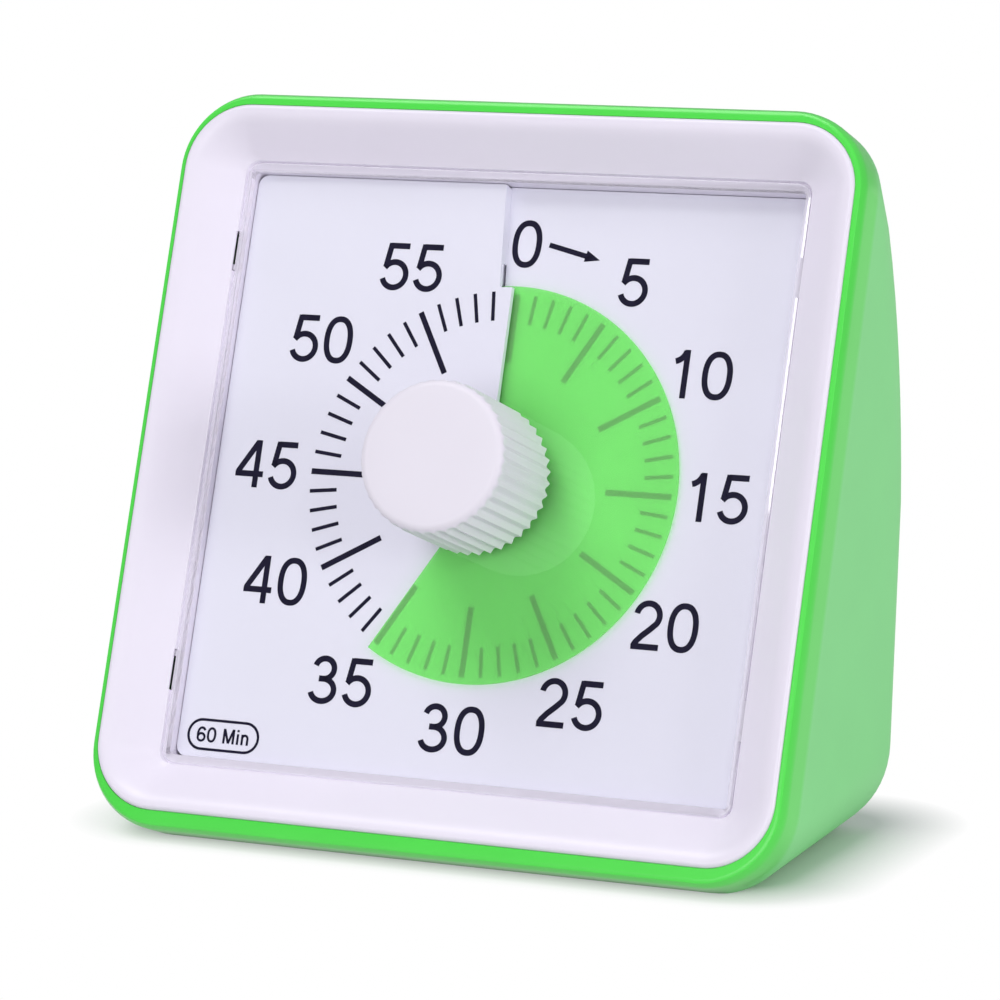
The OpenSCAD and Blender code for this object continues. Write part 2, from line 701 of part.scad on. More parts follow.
module movement_rear() color("white") at_dial() difference() {
    union() {
        translate([0, 0, move_back]) linear_extrude(move_wall) movement_outline(0);
        translate([0, 0, move_back]) linear_extrude(level_3 - 0.6 - move_back) difference() {
            movement_outline(0);
            movement_outline(move_wall);
        }
        for (p = movement_screw_at) translate([p[0], p[1], move_back])
            cylinder(r = 1.7, h = level_3 - 0.6 - move_back);
        // Posts that carry the stator
        for (p = stator_post_at) translate([p[0], p[1], move_back]) cylinder(r = 0.9, h = stator_z - move_back);
    }
    translate([0, 0, move_back - 1]) cylinder(r = arbor_r + run_gap, h = 3);
    pivot_holes(move_back - 1, 3);
    for (p = movement_screw_at) translate([p[0], p[1], move_back - 1]) cylinder(r = 0.75, h = move_d);
}

module movement_screws() color("silver") at_dial()
    for (p = movement_screw_at) translate([p[0], p[1], move_back])
        mirror([0, 0, 1]) screw(0.65, move_d + chassis_t, 1.4, 0.8);

module drive_wheel() color("wheat") at_dial() difference() {
    union() {
        translate([0, 0, level_1]) spur(drive_teeth, drive_module, gear_t, third_bearing + 180 / drive_teeth);
        translate([0, 0, level_1]) cylinder(r = 3.2, h = gear_t + 0.2);
    }
    translate([0, 0, level_1 - 1]) cylinder(r = arbor_r + run_gap, h = 4);
}

// A bowed star washer that presses the drive wheel on the spindle's collar
module clutch_spring() color("goldenrod") at_dial() translate([0, 0, collar_z + collar_t]) {
    ring(arbor_r + 1, arbor_r + run_gap, 0.2);
    for (k = [0 : 2]) rotate([0, 0, 120 * k]) {
        translate([arbor_r + 0.7, -0.5, 0]) cube([clutch_r - arbor_r - 1.4, 1, 0.2]);
        translate([clutch_r - 1.4, -0.5, 0]) cube([0.8, 1, level_1 - collar_z - collar_t]);
    }
}

// A wheel, its pinion in front of it and its two pivots
module wheel(at, teeth, m, z, phase, pinion, pm, pz, pphase) translate([at[0], at[1], 0]) {
    translate([0, 0, z]) spur(teeth, m, gear_t, phase);
    translate([0, 0, pz - 0.1]) spur(pinion, pm, gear_t + 0.2, pphase);
    body = pm * (pinion / 2 - 1.05) - 0.02;
    translate([0, 0, min(z, pz)]) cylinder(r = body, h = abs(pz - z) + gear_t, $fn = 24);
    translate([0, 0, move_back + 0.3]) cylinder(r = pivot_r, h = chassis_back - move_back - 0.6, $fn = 24);
}

module third_wheel() color("wheat") at_dial() wheel(third_at, third_teeth, fine_module, level_2,
    second_bearing + 180 / third_teeth, drive_pinion_teeth, drive_module, level_1, third_bearing + 180);

module second_wheel() color("burlywood") at_dial() wheel(second_at, second_teeth, fine_module, level_3,
    first_bearing + 180 / second_teeth, fine_pinion_teeth, fine_module, level_2, second_bearing + 180);

module first_wheel() color("wheat") at_dial() wheel(first_at, first_teeth, fine_module, level_4,
    rotor_bearing + 180 / first_teeth, fine_pinion_teeth, fine_module, level_3, first_bearing + 180);

module rotor() color("dimgray") at_dial() translate([rotor_at[0], rotor_at[1], 0]) {
    translate([0, 0, level_4 - 0.1]) spur(fine_pinion_teeth, fine_module, gear_t + 0.2, rotor_bearing + 180);
    translate([0, 0, stator_z]) cylinder(r = rotor_r, h = 2);
    translate([0, 0, level_4]) cylinder(r = 0.6, h = stator_z - level_4 + hair, $fn = 24);
    translate([0, 0, move_back + 0.3]) cylinder(r = pivot_r, h = chassis_back - move_back - 0.6, $fn = 24);
}

stator_left = coil_at[0] - coil_len / 2 - 2.5;

// Laminated horseshoe around the rotor, with the core through the coil
module stator() color("slategray") at_dial() translate([0, 0, stator_z]) linear_extrude(stator_t)
    difference() {
        union() {
            translate(rotor_at) circle(r = rotor_r + 1.7);
            // Right leg, core and left leg
            translate([rotor_at[0] - 1, coil_at[1] - 0.9]) square([3.2, rotor_at[1] - coil_at[1]]);
            translate([stator_left, coil_at[1] - 0.9]) square([rotor_at[0] - stator_left, 1.8]);
            translate([stator_left, coil_at[1]]) square([1.8, rotor_at[1] - coil_at[1] - 0.3]);
            translate([stator_left, rotor_at[1] - 2]) square([rotor_at[0] - rotor_r - 0.6 - stator_left, 1.7]);
        }
        translate(rotor_at) circle(r = rotor_r + air);
    }

module coil_bobbin() color("ivory") at_dial() translate([coil_at[0], coil_at[1], coil_z])
    rotate([0, 90, 0]) difference() {
        union() {
            translate([0, 0, -coil_len / 2]) cylinder(r = 1.4, h = coil_len);
            for (z = [-coil_len / 2, coil_len / 2 - 0.6]) translate([0, 0, z]) cylinder(r = coil_r + 0.2, h = 0.6);
        }
        translate([-stator_t / 2 - 0.03, -0.93, -coil_len]) cube([stator_t + 0.06, 1.86, 2 * coil_len]);
    }

module coil_winding() color("peru") at_dial() translate([coil_at[0], coil_at[1], coil_z])
    rotate([0, 90, 0]) translate([0, 0, -coil_len / 2 + 0.62]) ring(coil_r, 1.42, coil_len - 1.24);

// Two leaf springs beside the spindle's collar, closed by its lug at zero
module zero_contacts() color("darkkhaki") at_dial() for (k = [0, 1])
    translate([-5.2 + 0.9 * k, -move_down + move_wall, collar_z]) {
        cube([0.2, move_down - move_wall - 1.4 + 1.2 * k, collar_t]);
        translate([-0.2, 0, 0]) cube([0.6, 0.4, collar_t]);
    }

// ---- Electronics ----
module circuit_board() color("darkgreen") at_dial() difference() {
    union() {
        translate([-board_w / 2, board_y - board_h / 2, board_z - board_t]) cube([board_w, board_h, board_t]);
        // Spacers under the two screws
        for (p = board_screw_at) translate([p[0], p[1], board_z - hair])
            cylinder(r = 1.6, h = chassis_back - board_z + hair);
    }
    for (p = board_screw_at) translate([p[0], p[1], board_z - board_t - 1]) cylinder(r = 0.8, h = 5);
}

board_back = board_z - board_t;

module control_chip() color("black") at_dial() translate([0, board_y, board_back])
    mirror([0, 0, 1]) intersection() {
        translate([0, 0, -8.4]) sphere(r = 9.6);
        cylinder(r = 4, h = 2);
    }

module quartz_crystal() color("silver") at_dial() translate([-13, board_y - 2.9, board_back - 1.1]) {
    rotate([0, 90, 0]) cylinder(r = 1.05, h = 6, $fn = 32);
    for (s = [-1, 1]) translate([5.9, s * 0.4 - 0.1, -0.1]) cube([1.6, 0.2, 0.2]);
    for (s = [-1, 1]) translate([7.3, s * 0.4 - 0.1, -0.1]) cube([0.2, 0.2, 1.2]);
}

module capacitors() color("tan") at_dial() {
    translate([10, board_y - 2.2, board_back - 2.6]) cylinder(r = 1.6, h = 2.6, $fn = 32);
    for (k = [0 : 3]) translate([8 + 3 * k, board_y + 2.4, board_back - 0.8]) cube([1.8, 1, 0.8]);
    for (k = [0 : 2]) translate([-11.6 + 3 * k, board_y + 2.2, board_back - 0.5]) cube([1.8, 1, 0.5]);
}

module board_screws() color("silver") at_dial()
    for (p = board_screw_at) translate([p[0], p[1], board_back]) mirror([0, 0, 1])
        screw(0.65, board_t + chassis_back - board_z + chassis_t, 1.4, 0.8);

buzzer_face = min(back_at(sound_h + buzzer_r), back_at(sound_h - buzzer_r)) - wall - 0.05;

module buzzer_holder() color("black") translate([buzzer_x, buzzer_face, sound_h]) rotate([90, 0, 0])
    difference() {
        cylinder(r = buzzer_r, h = 2.6);
        translate([0, 0, -1]) cylinder(r = buzzer_r - 0.8, h = 2.4);
    }

module buzzer_disc() color("gold") translate([buzzer_x, buzzer_face - 1.4, sound_h]) rotate([-90, 0, 0]) {
    cylinder(r = buzzer_r - 0.85, h = 0.2);
    translate([0, 0, 0.2]) cylinder(r = buzzer_r - 2.6, h = 0.15);
}

switch_face = back_at(sound_h) - wall - 0.2;

module switch_body() color("silver")
    translate([switch_x - switch_body[0] / 2, switch_face - switch_body[1], sound_h - switch_body[2] / 2])
    difference() {
        cube(switch_body);
        translate([0.6, switch_body[1] - 2, 0.6]) cube([switch_body[0] - 1.2, 3, switch_body[2] - 1.2]);
    }

module switch_slider() color("ghostwhite") translate([switch_x - switch_step, 0, sound_h]) {
    translate([-thumb_len / 2 + 0.4, switch_face - 1.6, -1.6]) cube([thumb_len - 0.8, 1.4, 3.2]);
    difference() {
        translate([-thumb_len / 2, switch_face - 0.4, -1.3]) cube([thumb_len, wall + 0.55, 2.6]);
        for (k = [-1 : 1]) translate([k * 1.2 - 0.2, switch_face + wall - 0.2, -2]) cube([0.4, 1, 4]);
    }
}

module switch_terminals() color("silver") for (k = [-1 : 1])
    translate([switch_x + k * 3 - 0.3, switch_face - switch_body[1] - 2.4, sound_h - 0.15])
        cube([0.6, 2.4, 0.3]);

// ---- Power ----
module battery_cell() color("dimgray") translate([0, cell_y, cell_h]) rotate([0, 90, 0]) {
    translate([0, 0, -cell_len / 2]) cylinder(r = cell_r, h = cell_len);
    translate([0, 0, cell_len / 2 - hair]) cylinder(r = 2.6, h = 1.3);
}

coil_steps = 52;
coil_wire_r = 0.28;

// A point of the conical spring, k steps along it
function coil_point(k) =
    let (s = k / coil_steps, a = 360 * 3.25 * s, r = 5.2 - 2.6 * s,
        reach = bay_half - cell_len / 2 - contact_t - coil_wire_r + 0.1)
    [-bay_half + contact_t - 0.1 + reach * s, cell_y + r * cos(a), cell_h + r * sin(a)];

// Conical coil spring against the cell's flat end, on a contact plate
module battery_spring() color("silver") {
    for (k = [0 : coil_steps - 1]) hull() {
        translate(coil_point(k)) sphere(r = coil_wire_r, $fn = 6);
        translate(coil_point(k + 1)) sphere(r = coil_wire_r, $fn = 6);
    }
    translate([-bay_half, cell_y - 6.2, cell_h - 6.2]) cube([contact_t, 12.4, 12.4]);
}

module battery_plate() color("silver") {
    translate([bay_half - contact_t, cell_y - 6.2, cell_h - 6.2]) cube([contact_t, 12.4, 12.4]);
    translate([cell_len / 2 + 1.3, cell_y - 3, cell_h - 3])
        cube([bay_half - contact_t - cell_len / 2 - 1.3 + hair, 6, 6]);
}

module battery_door() color("limegreen") at_back() {
    difference() {
        rotate([90, 0, 0]) linear_extrude(door_t) door_outline(0);
        // Half-round lower edge, on the hinge's axis
        translate([0, -hinge_r, door_bottom + hinge_r]) rotate([0, 90, 0]) difference() {
            translate([0, -door_t, -door_w]) cube([2 * hinge_r, 2 * door_t, 2 * door_w]);
            cylinder(r = hinge_r, h = 3 * door_w, center = true);
        }
        // Grip lines
        for (k = [0 : 3]) translate([-6, -0.3, door_top - 2.4 - 1.2 * k]) cube([12, 1, 0.5]);
    }
    // Pins and finger tab
    for (sx = [-1, 1]) translate([sx * (door_w / 2 + (pin_len - 0.6) / 2), -hinge_r, door_bottom + hinge_r])
        rotate([0, 90, 0]) cylinder(r = pin_r, h = pin_len + 0.6, center = true, $fn = 32);
    translate([-3.7, -door_t, door_top - 0.5]) cube([7.4, 0.8, 1.7]);
}

module case_screws() color("silver") at_dial() for (sx = [-1, 1])
    translate([sx * screw_x, screw_y, screw_seat_z]) mirror([0, 0, 1])
        screw(screw_r - 0.02, chassis_front - screw_seat_z - 0.2, screw_head_r, screw_head_t);

// ---- Wires ----
tub_front = cell_y - tub_r;
tub_top = cell_h + tub_r;

// The end of a wire of radius r, down behind the circuit board's upper edge at x
function board_end(x, r = wire_r) =
    let (edge = face_point(x, board_y + board_h / 2, board_back))
    [[x, edge[1] + 0.65, tub_top + 0.8], [x, edge[1] + 0.65, edge[2] + 0.24],
        face_point(x, board_y + board_h / 2 - 0.9, board_back - r)];

module battery_wires() color("red") for (s = [-1, 1]) wire(concat([
    [s * (bay_half - contact_t - wire_r), cell_y - 5.4, cell_h + 4.6],
    [s * (bay_half - contact_t - wire_r), cell_y - 5.4, tub_top + 1.2]],
    board_end(s * 17.8)));

module buzzer_wires() color("blue") for (k = [0, 1]) wire(concat([
    [buzzer_x - 4 - 1.5 * k, buzzer_face - 2.6 - wire_r, sound_h - 2],
    [buzzer_x - 5 - 1.5 * k, buzzer_face - 6, sound_h - 8],
    [20.6 - 1.5 * k, tub_front + 1.2 * k, tub_top + 4]],
    board_end(15 - 2.1 * k)));

module switch_wires() color("orange") for (k = [-1 : 1]) wire(concat([
    [switch_x + k * 3, switch_face - switch_body[1] - 2.4 - wire_r, sound_h],
    [switch_x + k * 1.6, switch_face - switch_body[1] - 4, sound_h - 8],
    [-20.4 + 2.3 * k, tub_front + 0.9 * (1 - abs(k)), tub_top + 4]],
    board_end(-13.2 + 2.4 * k)));

module coil_wires() color("peru") for (k = [0, 1]) wire(concat([
    face_point(coil_wire_x[k], coil_at[1] - coil_r - 0.2, coil_z),
    face_point(coil_wire_x[k], -move_down - 0.8, coil_z)],
    board_end(coil_wire_x[k] * 0.7, 0.2)), 0.2);

front_bezel();
rear_shell();
lens();
knob();
dial_plate();
time_disc();
disc_hub();
spindle();
chassis();
chassis_screws();
movement_front();
movement_rear();
drive_wheel();
clutch_spring();
third_wheel();
second_wheel();
first_wheel();
rotor();
stator();
coil_bobbin();
coil_winding();
movement_screws();
zero_contacts();
circuit_board();
control_chip();
quartz_crystal();
capacitors();
board_screws();
buzzer_holder();
buzzer_disc();
switch_body();
switch_slider();
switch_terminals();
battery_cell();
battery_spring();
battery_plate();
battery_door();
case_screws();
battery_wires();
buzzer_wires();
switch_wires();
coil_wires();
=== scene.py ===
"""Dresses a desk-top visual countdown timer: its case, bezel, clear lens, ribbed knob, spiral
dial with printed numerals, translucent time disc, and the finishes of its inner pieces.

Pieces are modelled in millimetres in the frame of the tilted face: x across, y up the face,
z out of the face along the spindle, with the origin at the middle of the dial. finish_piece()
puts them in their place, in metres.
"""

import json
import math

import bmesh
import bpy
from mathutils import Matrix, Vector


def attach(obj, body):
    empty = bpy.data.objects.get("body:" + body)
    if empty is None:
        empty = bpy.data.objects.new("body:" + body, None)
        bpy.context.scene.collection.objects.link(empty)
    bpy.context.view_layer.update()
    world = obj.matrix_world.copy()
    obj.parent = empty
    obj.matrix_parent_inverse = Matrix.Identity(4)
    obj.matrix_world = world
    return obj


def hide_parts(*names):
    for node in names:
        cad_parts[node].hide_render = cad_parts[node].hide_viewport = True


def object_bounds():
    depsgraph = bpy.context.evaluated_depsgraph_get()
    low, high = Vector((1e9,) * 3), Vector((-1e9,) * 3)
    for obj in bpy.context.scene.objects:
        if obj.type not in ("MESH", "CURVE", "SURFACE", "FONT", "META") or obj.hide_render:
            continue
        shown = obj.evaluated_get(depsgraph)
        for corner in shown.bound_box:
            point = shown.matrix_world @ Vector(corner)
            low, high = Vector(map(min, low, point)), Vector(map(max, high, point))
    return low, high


bl_info = {
    "name": "Visual Countdown Timer",
    "version": (1, 0, 0),
    "blender": (4, 5, 0),
    "location": "View3D > Sidebar > Timer",
    "description": "Builds the visible pieces of a desk-top countdown timer",
    "category": "Add Mesh",
}

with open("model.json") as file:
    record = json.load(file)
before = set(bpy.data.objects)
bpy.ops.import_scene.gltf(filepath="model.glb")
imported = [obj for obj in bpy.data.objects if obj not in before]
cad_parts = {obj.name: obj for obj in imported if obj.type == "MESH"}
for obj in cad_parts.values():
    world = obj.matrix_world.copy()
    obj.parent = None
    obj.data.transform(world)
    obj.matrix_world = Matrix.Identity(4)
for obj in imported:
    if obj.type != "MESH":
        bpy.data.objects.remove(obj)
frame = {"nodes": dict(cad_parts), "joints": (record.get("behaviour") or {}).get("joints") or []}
cad_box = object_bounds()

MM = 0.001


# ---- Frames ----
def face_matrix():
    """From the face frame in millimetres to the timer's own frame in metres."""
    spindle = next(joint for joint in frame["joints"] if joint["name"] == "spindle_turn")
    out = Vector(spindle["axis"]).normalized()
    across = Vector((1.0, 0.0, 0.0))
    turn = Matrix((across, out.cross(across), out)).transposed().to_4x4()
    return Matrix.Translation(Vector(spindle["pos_m"])) @ turn @ Matrix.Scale(MM, 4)


FACE = face_matrix()
ACROSS, UP, OUT = (column.normalized() for column in FACE.to_3x3().col)
WORLD = Matrix.Scale(MM, 4)


# ---- Sizes and colours a user would change ----
def linear(code):
    """An sRGB hex colour as linear red, green and blue."""
    parts = [int(code[k : k + 2], 16) / 255 for k in (1, 3, 5)]
    return [p / 12.92 if p <= 0.04045 else ((p + 0.055) / 1.055) ** 2.4 for p in parts]


def length(name, description, millimetres):
    return bpy.props.FloatProperty(
        name=name, description=description, default=millimetres * MM, unit="LENGTH", precision=5
    )


def colour(name, description, code):
    return bpy.props.FloatVectorProperty(
        name=name, description=description, default=linear(code), subtype="COLOR", min=0, max=1
    )


class TimerSizes(bpy.types.PropertyGroup):
    bezel_width: length("Bezel width", "Width and height of the bezel", 75.27)
    bezel_corner: length("Bezel corner", "Corner radius of the bezel's outline", 7.0)
    bezel_up: length("Bezel offset", "Distance from the spindle up to the bezel's middle", 0.25)
    bezel_crest: length("Bezel crest", "Height of the bezel's crest above the dial", 5.8)
    bezel_lip: length("Window lip", "Height of the window's lip above the dial", 2.3)
    window_width: length("Window width", "Width of the window at its lip", 63.9)
    window_height: length("Window height", "Height of the window at its lip", 64.7)
    lens_thickness: length("Lens thickness", "Thickness of the clear lens", 0.8)
    lens_gap: length("Lens gap", "Clearance round the lens", 0.15)
    pitch: length("Spiral pitch", "Rise of the dial plate and the disc in one turn", 1.4)
    disc_radius: length("Disc radius", "Radius of the time disc", 20.9)
    knob_radius: length("Knob radius", "Radius over the knob's ribs", 7.95)
    knob_height: length("Knob height", "Height of the knob", 12.3)
    digit_height: length("Digit height", "Height of the dial's numerals", 5.05)
    knob_ribs: bpy.props.IntProperty(
        name="Knob ribs", description="Number of ribs round the knob", default=40, min=12, max=80
    )
    minutes_shown: bpy.props.FloatProperty(
        name="Minutes shown", description="Time that the disc shows at rest", default=35.2
    )


class TimerColours(bpy.types.PropertyGroup):
    bezel: colour("Bezel", "Pale moulded plastic of the bezel", "#E7E1EE")
    shell: colour("Case", "Green moulded plastic of the case", "#4EDC4A")
    knob: colour("Knob", "Pale moulded plastic of the knob", "#E3DEE8")
    dial: colour("Dial", "Printed sheet of the dial", "#E8E7F2")
    disc: colour("Disc", "Translucent sheet of the time disc", "#B4FAA8")
    ink: colour("Ink", "Dark printing ink", "#14102A")


def sizes():
    return bpy.context.scene.timer_sizes


def colours():
    return bpy.context.scene.timer_colours


def mm(metres):
    return metres / MM


# ---- Materials ----
WHITE = (1, 1, 1, 1)


def add_node(tree, kind, inputs=(), **settings):
    """Adds a shader node. inputs pairs an input's name or number with its value, the socket that
    feeds it, or the node whose first output feeds it. settings are values of inputs by name, or
    else the node's own properties."""
    node = tree.nodes.new("ShaderNode" + kind)
    for name, value in settings.items():
        title = name.replace("_", " ")
        if title in node.inputs:
            node.inputs[title].default_value = value
        else:
            setattr(node, name, value)
    for name, value in inputs:
        if isinstance(value, bpy.types.Node):
            value = value.outputs[0]
        if isinstance(value, bpy.types.NodeSocket):
            tree.links.new(value, node.inputs[name])
        else:
            node.inputs[name].default_value = value
    return node


def start_material(name):
    """A new material without nodes, and the object's own coordinates in metres."""
    material = bpy.data.materials.new(name)
    material.use_nodes = True
    tree = material.node_tree
    tree.nodes.clear()
    return material, tree, add_node(tree, "TexCoord").outputs["Object"]


def opaque(code):
    return (*linear(code), 1.0)


def mottled(tree, place, rgb, patch_mm, contrast, detail=3.0):
    """A colour that is a share darker and lighter by turns, in patches about patch_mm across."""
    size = 1 / (patch_mm * MM)
    patches = add_node(tree, "TexNoise", [("Vector", place)], Scale=size, Detail=detail)
    ramp = add_node(tree, "ValToRGB", [("Fac", patches)])
    factors = (1 - contrast, 1 + contrast)
    for stop, position, factor in zip(ramp.color_ramp.elements, (0.3, 0.7), factors):
        stop.position = position
        stop.color = [min(1.0, c * factor) for c in rgb] + [1.0]
    return ramp


def grained(tree, place, grain_mm, rough, depth_mm=0.0, strength=1.0, **pattern):
    """What a shader takes from a grain about grain_mm across: its roughness, which varies
    between the two values of rough, and its relief."""
    size = 1 / (grain_mm * MM)
    grain = add_node(tree, "TexNoise", [("Vector", place)], Scale=size, **pattern)
    spread = {"From_Min": 0.3, "From_Max": 0.7, "To_Min": rough[0], "To_Max": rough[1]}
    found = [("Roughness", add_node(tree, "MapRange", [("Value", grain)], **spread))]
    if depth_mm:
        relief = {"Strength": strength, "Distance": depth_mm * MM}
        found.append(("Normal", add_node(tree, "Bump", [("Height", grain)], **relief)))
    return found


def distance_along(tree, place, axis, start):
    """How far a point lies beyond start in the direction of axis, in metres."""
    pair = [(0, place), (1, axis)]
    along = add_node(tree, "VectorMath", pair, operation="DOT_PRODUCT").outputs["Value"]
    pair = [(0, along), (1, start.dot(axis))]
    return add_node(tree, "Math", pair, operation="SUBTRACT")


def seen_by(tree, *kinds):
    """1 for rays of the kinds named, and 0 for all others."""
    ray = add_node(tree, "LightPath").outputs
    found = ray[f"Is {kinds[0]} Ray"]
    for kind in kinds[1:]:
        pair = [(0, found), (1, ray[f"Is {kind} Ray"])]
        found = add_node(tree, "Math", pair, operation="MAXIMUM")
    return found


def moulded(name, rgb, gloss, grain_mm=0.35, grain_depth_mm=0.004, mottle=0.015):
    """Injection-moulded plastic: even colour with a faint cloudiness from the resin's flow,
    and the fine spark-eroded grain of the tool, which breaks up its highlights."""
    material, tree, place = start_material(name)
    tone = mottled(tree, place, rgb, 9.0, mottle)
    rough = (gloss - 0.04, gloss + 0.05)
    grain = grained(tree, place, grain_mm, rough, grain_depth_mm, Roughness=0.6)
    links = [("Base Color", tone), *grain]
    shader = add_node(tree, "BsdfPrincipled", links, IOR=1.54)
    add_node(tree, "OutputMaterial", [("Surface", shader)])
    return material


def plated(name, code, gloss, grain_mm=0.6, stretch=(1, 1, 1), wear="#7A7466"):
    """Rolled, stamped or plated metal: bright, with drawn-out grain and small dull patches."""
    material, tree, place = start_material(name)
    patch = {"Scale": 1 / (4.0 * MM), "Detail": 3.0, "Roughness": 0.6}
    patches = add_node(tree, "TexNoise", [("Vector", place)], **patch)
    share = {"From_Min": 0.5, "From_Max": 0.8, "To_Max": 0.25}
    dull = add_node(tree, "MapRange", [("Value", patches)], **share)
    mixed = [("Factor", dull), (6, opaque(code)), (7, opaque(wear))]
    tone = add_node(tree, "Mix", mixed, data_type="RGBA").outputs[2]
    drawn = add_node(tree, "Mapping", [("Vector", place)], Scale=stretch)
    rough = (gloss - 0.07, gloss + 0.12)
    grain = grained(tree, drawn, grain_mm, rough, 0.006, 0.6, Detail=4.0, Roughness=0.6)
    links = [("Base Color", tone), *grain]
    shader = add_node(tree, "BsdfPrincipled", links, Metallic=1.0)
    add_node(tree, "OutputMaterial", [("Surface", shader)])
    return material


# Share of the light that a clear plastic mirrors where it meets it squarely
SQUARE_GLEAM = 0.04
# Share of painted light mixed over the lens's border, and the width in mm of its soft edge
PAINTED_BORDER_SHARE = 0.55
BORDER_BLUR = 0.05


def beyond_ledge(tree, place):
    """1 where a point of the lens lies outside the inner edge of the ledge that it rests on."""
    middle = FACE @ Vector((0, mm(sizes().bezel_up), 0))
    reached = []
    for axis, half in ((ACROSS, LEDGE_HALF), (UP, LEDGE_HALF + 0.05)):
        away = distance_along(tree, place, axis, middle)
        size = add_node(tree, "Math", [(0, away)], operation="ABSOLUTE")
        edge = {"From_Min": (half - BORDER_BLUR) * MM, "From_Max": (half + BORDER_BLUR) * MM}
        reached.append(add_node(tree, "MapRange", [("Value", size)], **edge))
    return add_node(tree, "Math", enumerate(reached), operation="MAXIMUM")


def clear_styrene():
    """Clear polystyrene from a polished tool, 0.8 mm thick: the dial shows through it unchanged,
    and its mirror-like faces gleam more towards grazing angles. The border that rests on the
    bezel's ledge is mixed with a pale diffuse colour: painted light, which stands in for the light
    that the lens's edge gathers on to the shaded ledge."""
    material, tree, place = start_material("clear_styrene")
    edge_on = add_node(tree, "LayerWeight", Blend=0.5).outputs["Facing"]
    rise = add_node(tree, "Math", [(0, edge_on), (1, 5.0)], operation="POWER")
    outside = add_node(tree, "MapRange", [("Value", rise)], To_Min=SQUARE_GLEAM)
    # Its walls are so thin that their inner faces show no mirror image of their own
    inner = add_node(tree, "NewGeometry").outputs["Backfacing"]
    front = add_node(tree, "Math", [(0, 1.0), (1, inner)], operation="SUBTRACT")
    share = add_node(tree, "Math", [(0, outside), (1, front)], operation="MULTIPLY")
    gleam = add_node(tree, "BsdfGlossy", Color=WHITE, Roughness=0.03)
    clear = add_node(tree, "BsdfTransparent", Color=opaque("#FDFDFE"))
    # Painted light: a pale diffuse colour over the border stands in for light that the lens's edge
    # gathers on to the shaded ledge
    painted_border_light = add_node(tree, "BsdfDiffuse", Color=opaque("#E6E1EE"))
    pair = [(0, beyond_ledge(tree, place)), (1, PAINTED_BORDER_SHARE)]
    painted_light_share = add_node(tree, "Math", pair, operation="MULTIPLY")
    body = add_node(tree, "MixShader", [(0, painted_light_share), (1, clear), (2, painted_border_light)])
    seen = add_node(tree, "MixShader", [(0, share), (1, body), (2, gleam)])
    # Light on its way to the dial passes whole
    through = add_node(tree, "BsdfTransparent", Color=WHITE)
    lighting = seen_by(tree, "Shadow", "Diffuse")
    lens = add_node(tree, "MixShader", [(0, lighting), (1, seen), (2, through)])
    add_node(tree, "OutputMaterial", [("Surface", lens)])
    return material


def disc_film(rgb):
    """Tinted polypropylene sheet, 0.25 mm: the marks behind it show through as a deeper green.
    Extruded sheet has very fine lines along one direction, drawn coarser here so they show."""
    material, tree, place = start_material("tinted_polypropylene_film")
    tone = mottled(tree, place, rgb, 12.0, 0.03, 2.0)
    drawn = add_node(tree, "Mapping", [("Vector", place)], Scale=(1.0, 0.08, 0.08))
    links = [("Base Color", tone), *grained(tree, drawn, 0.5, (0.3, 0.42))]
    body = add_node(tree, "BsdfPrincipled", links, IOR=1.49)
    glow = add_node(tree, "BsdfTranslucent", [("Color", tone)])
    tint = add_node(tree, "BsdfTransparent", Color=opaque("#C4FABD"))
    sheet = add_node(tree, "MixShader", [(0, 0.2), (1, body), (2, glow)])
    seen = add_node(tree, "MixShader", [(0, 0.66), (1, sheet), (2, tint)])
    # The sheet scatters light on to the dial, so it hardly shades it
    pass_on = add_node(tree, "BsdfTransparent", Color=opaque("#E4FCE0"))
    shading = seen_by(tree, "Shadow")
    film = add_node(tree, "MixShader", [(0, shading), (1, seen), (2, pass_on)])
    add_node(tree, "OutputMaterial", [("Surface", film)])
    return material


def printed_sheet(rgb):
    """Dial face: calendered sheet under a satin print varnish, with a faint tooth."""
    material, tree, place = start_material("varnished_dial_sheet")
    tone = mottled(tree, place, rgb, 18.0, 0.01, 2.0)
    tooth = grained(tree, place, 0.14, (0.54, 0.57), 0.0002, 0.01, Detail=1.0)
    links = [("Base Color", tone), *tooth]
    shader = add_node(tree, "BsdfPrincipled", links, IOR=1.5)
    add_node(tree, "OutputMaterial", [("Surface", shader)])
    return material


def pad_ink(rgb):
    """Pad-printed ink: nearly black, satin, a touch uneven where the pad lifted."""
    material, tree, place = start_material("pad_printed_ink")
    tone = mottled(tree, place, rgb, 0.8, 0.15)
    links = [("Base Color", tone), *grained(tree, place, 0.8, (0.4, 0.55), Detail=3.0)]
    satin = {"IOR": 1.4, "Specular_IOR_Level": 0.25}
    shader = add_node(tree, "BsdfPrincipled", links, **satin)
    add_node(tree, "OutputMaterial", [("Surface", shader)])
    return material


# Height above the dial at which the case's grained sides, mixed paler with painted sheen, turn into
# its polished rim
RIM_START, RIM_FULL = 0.6, 1.5


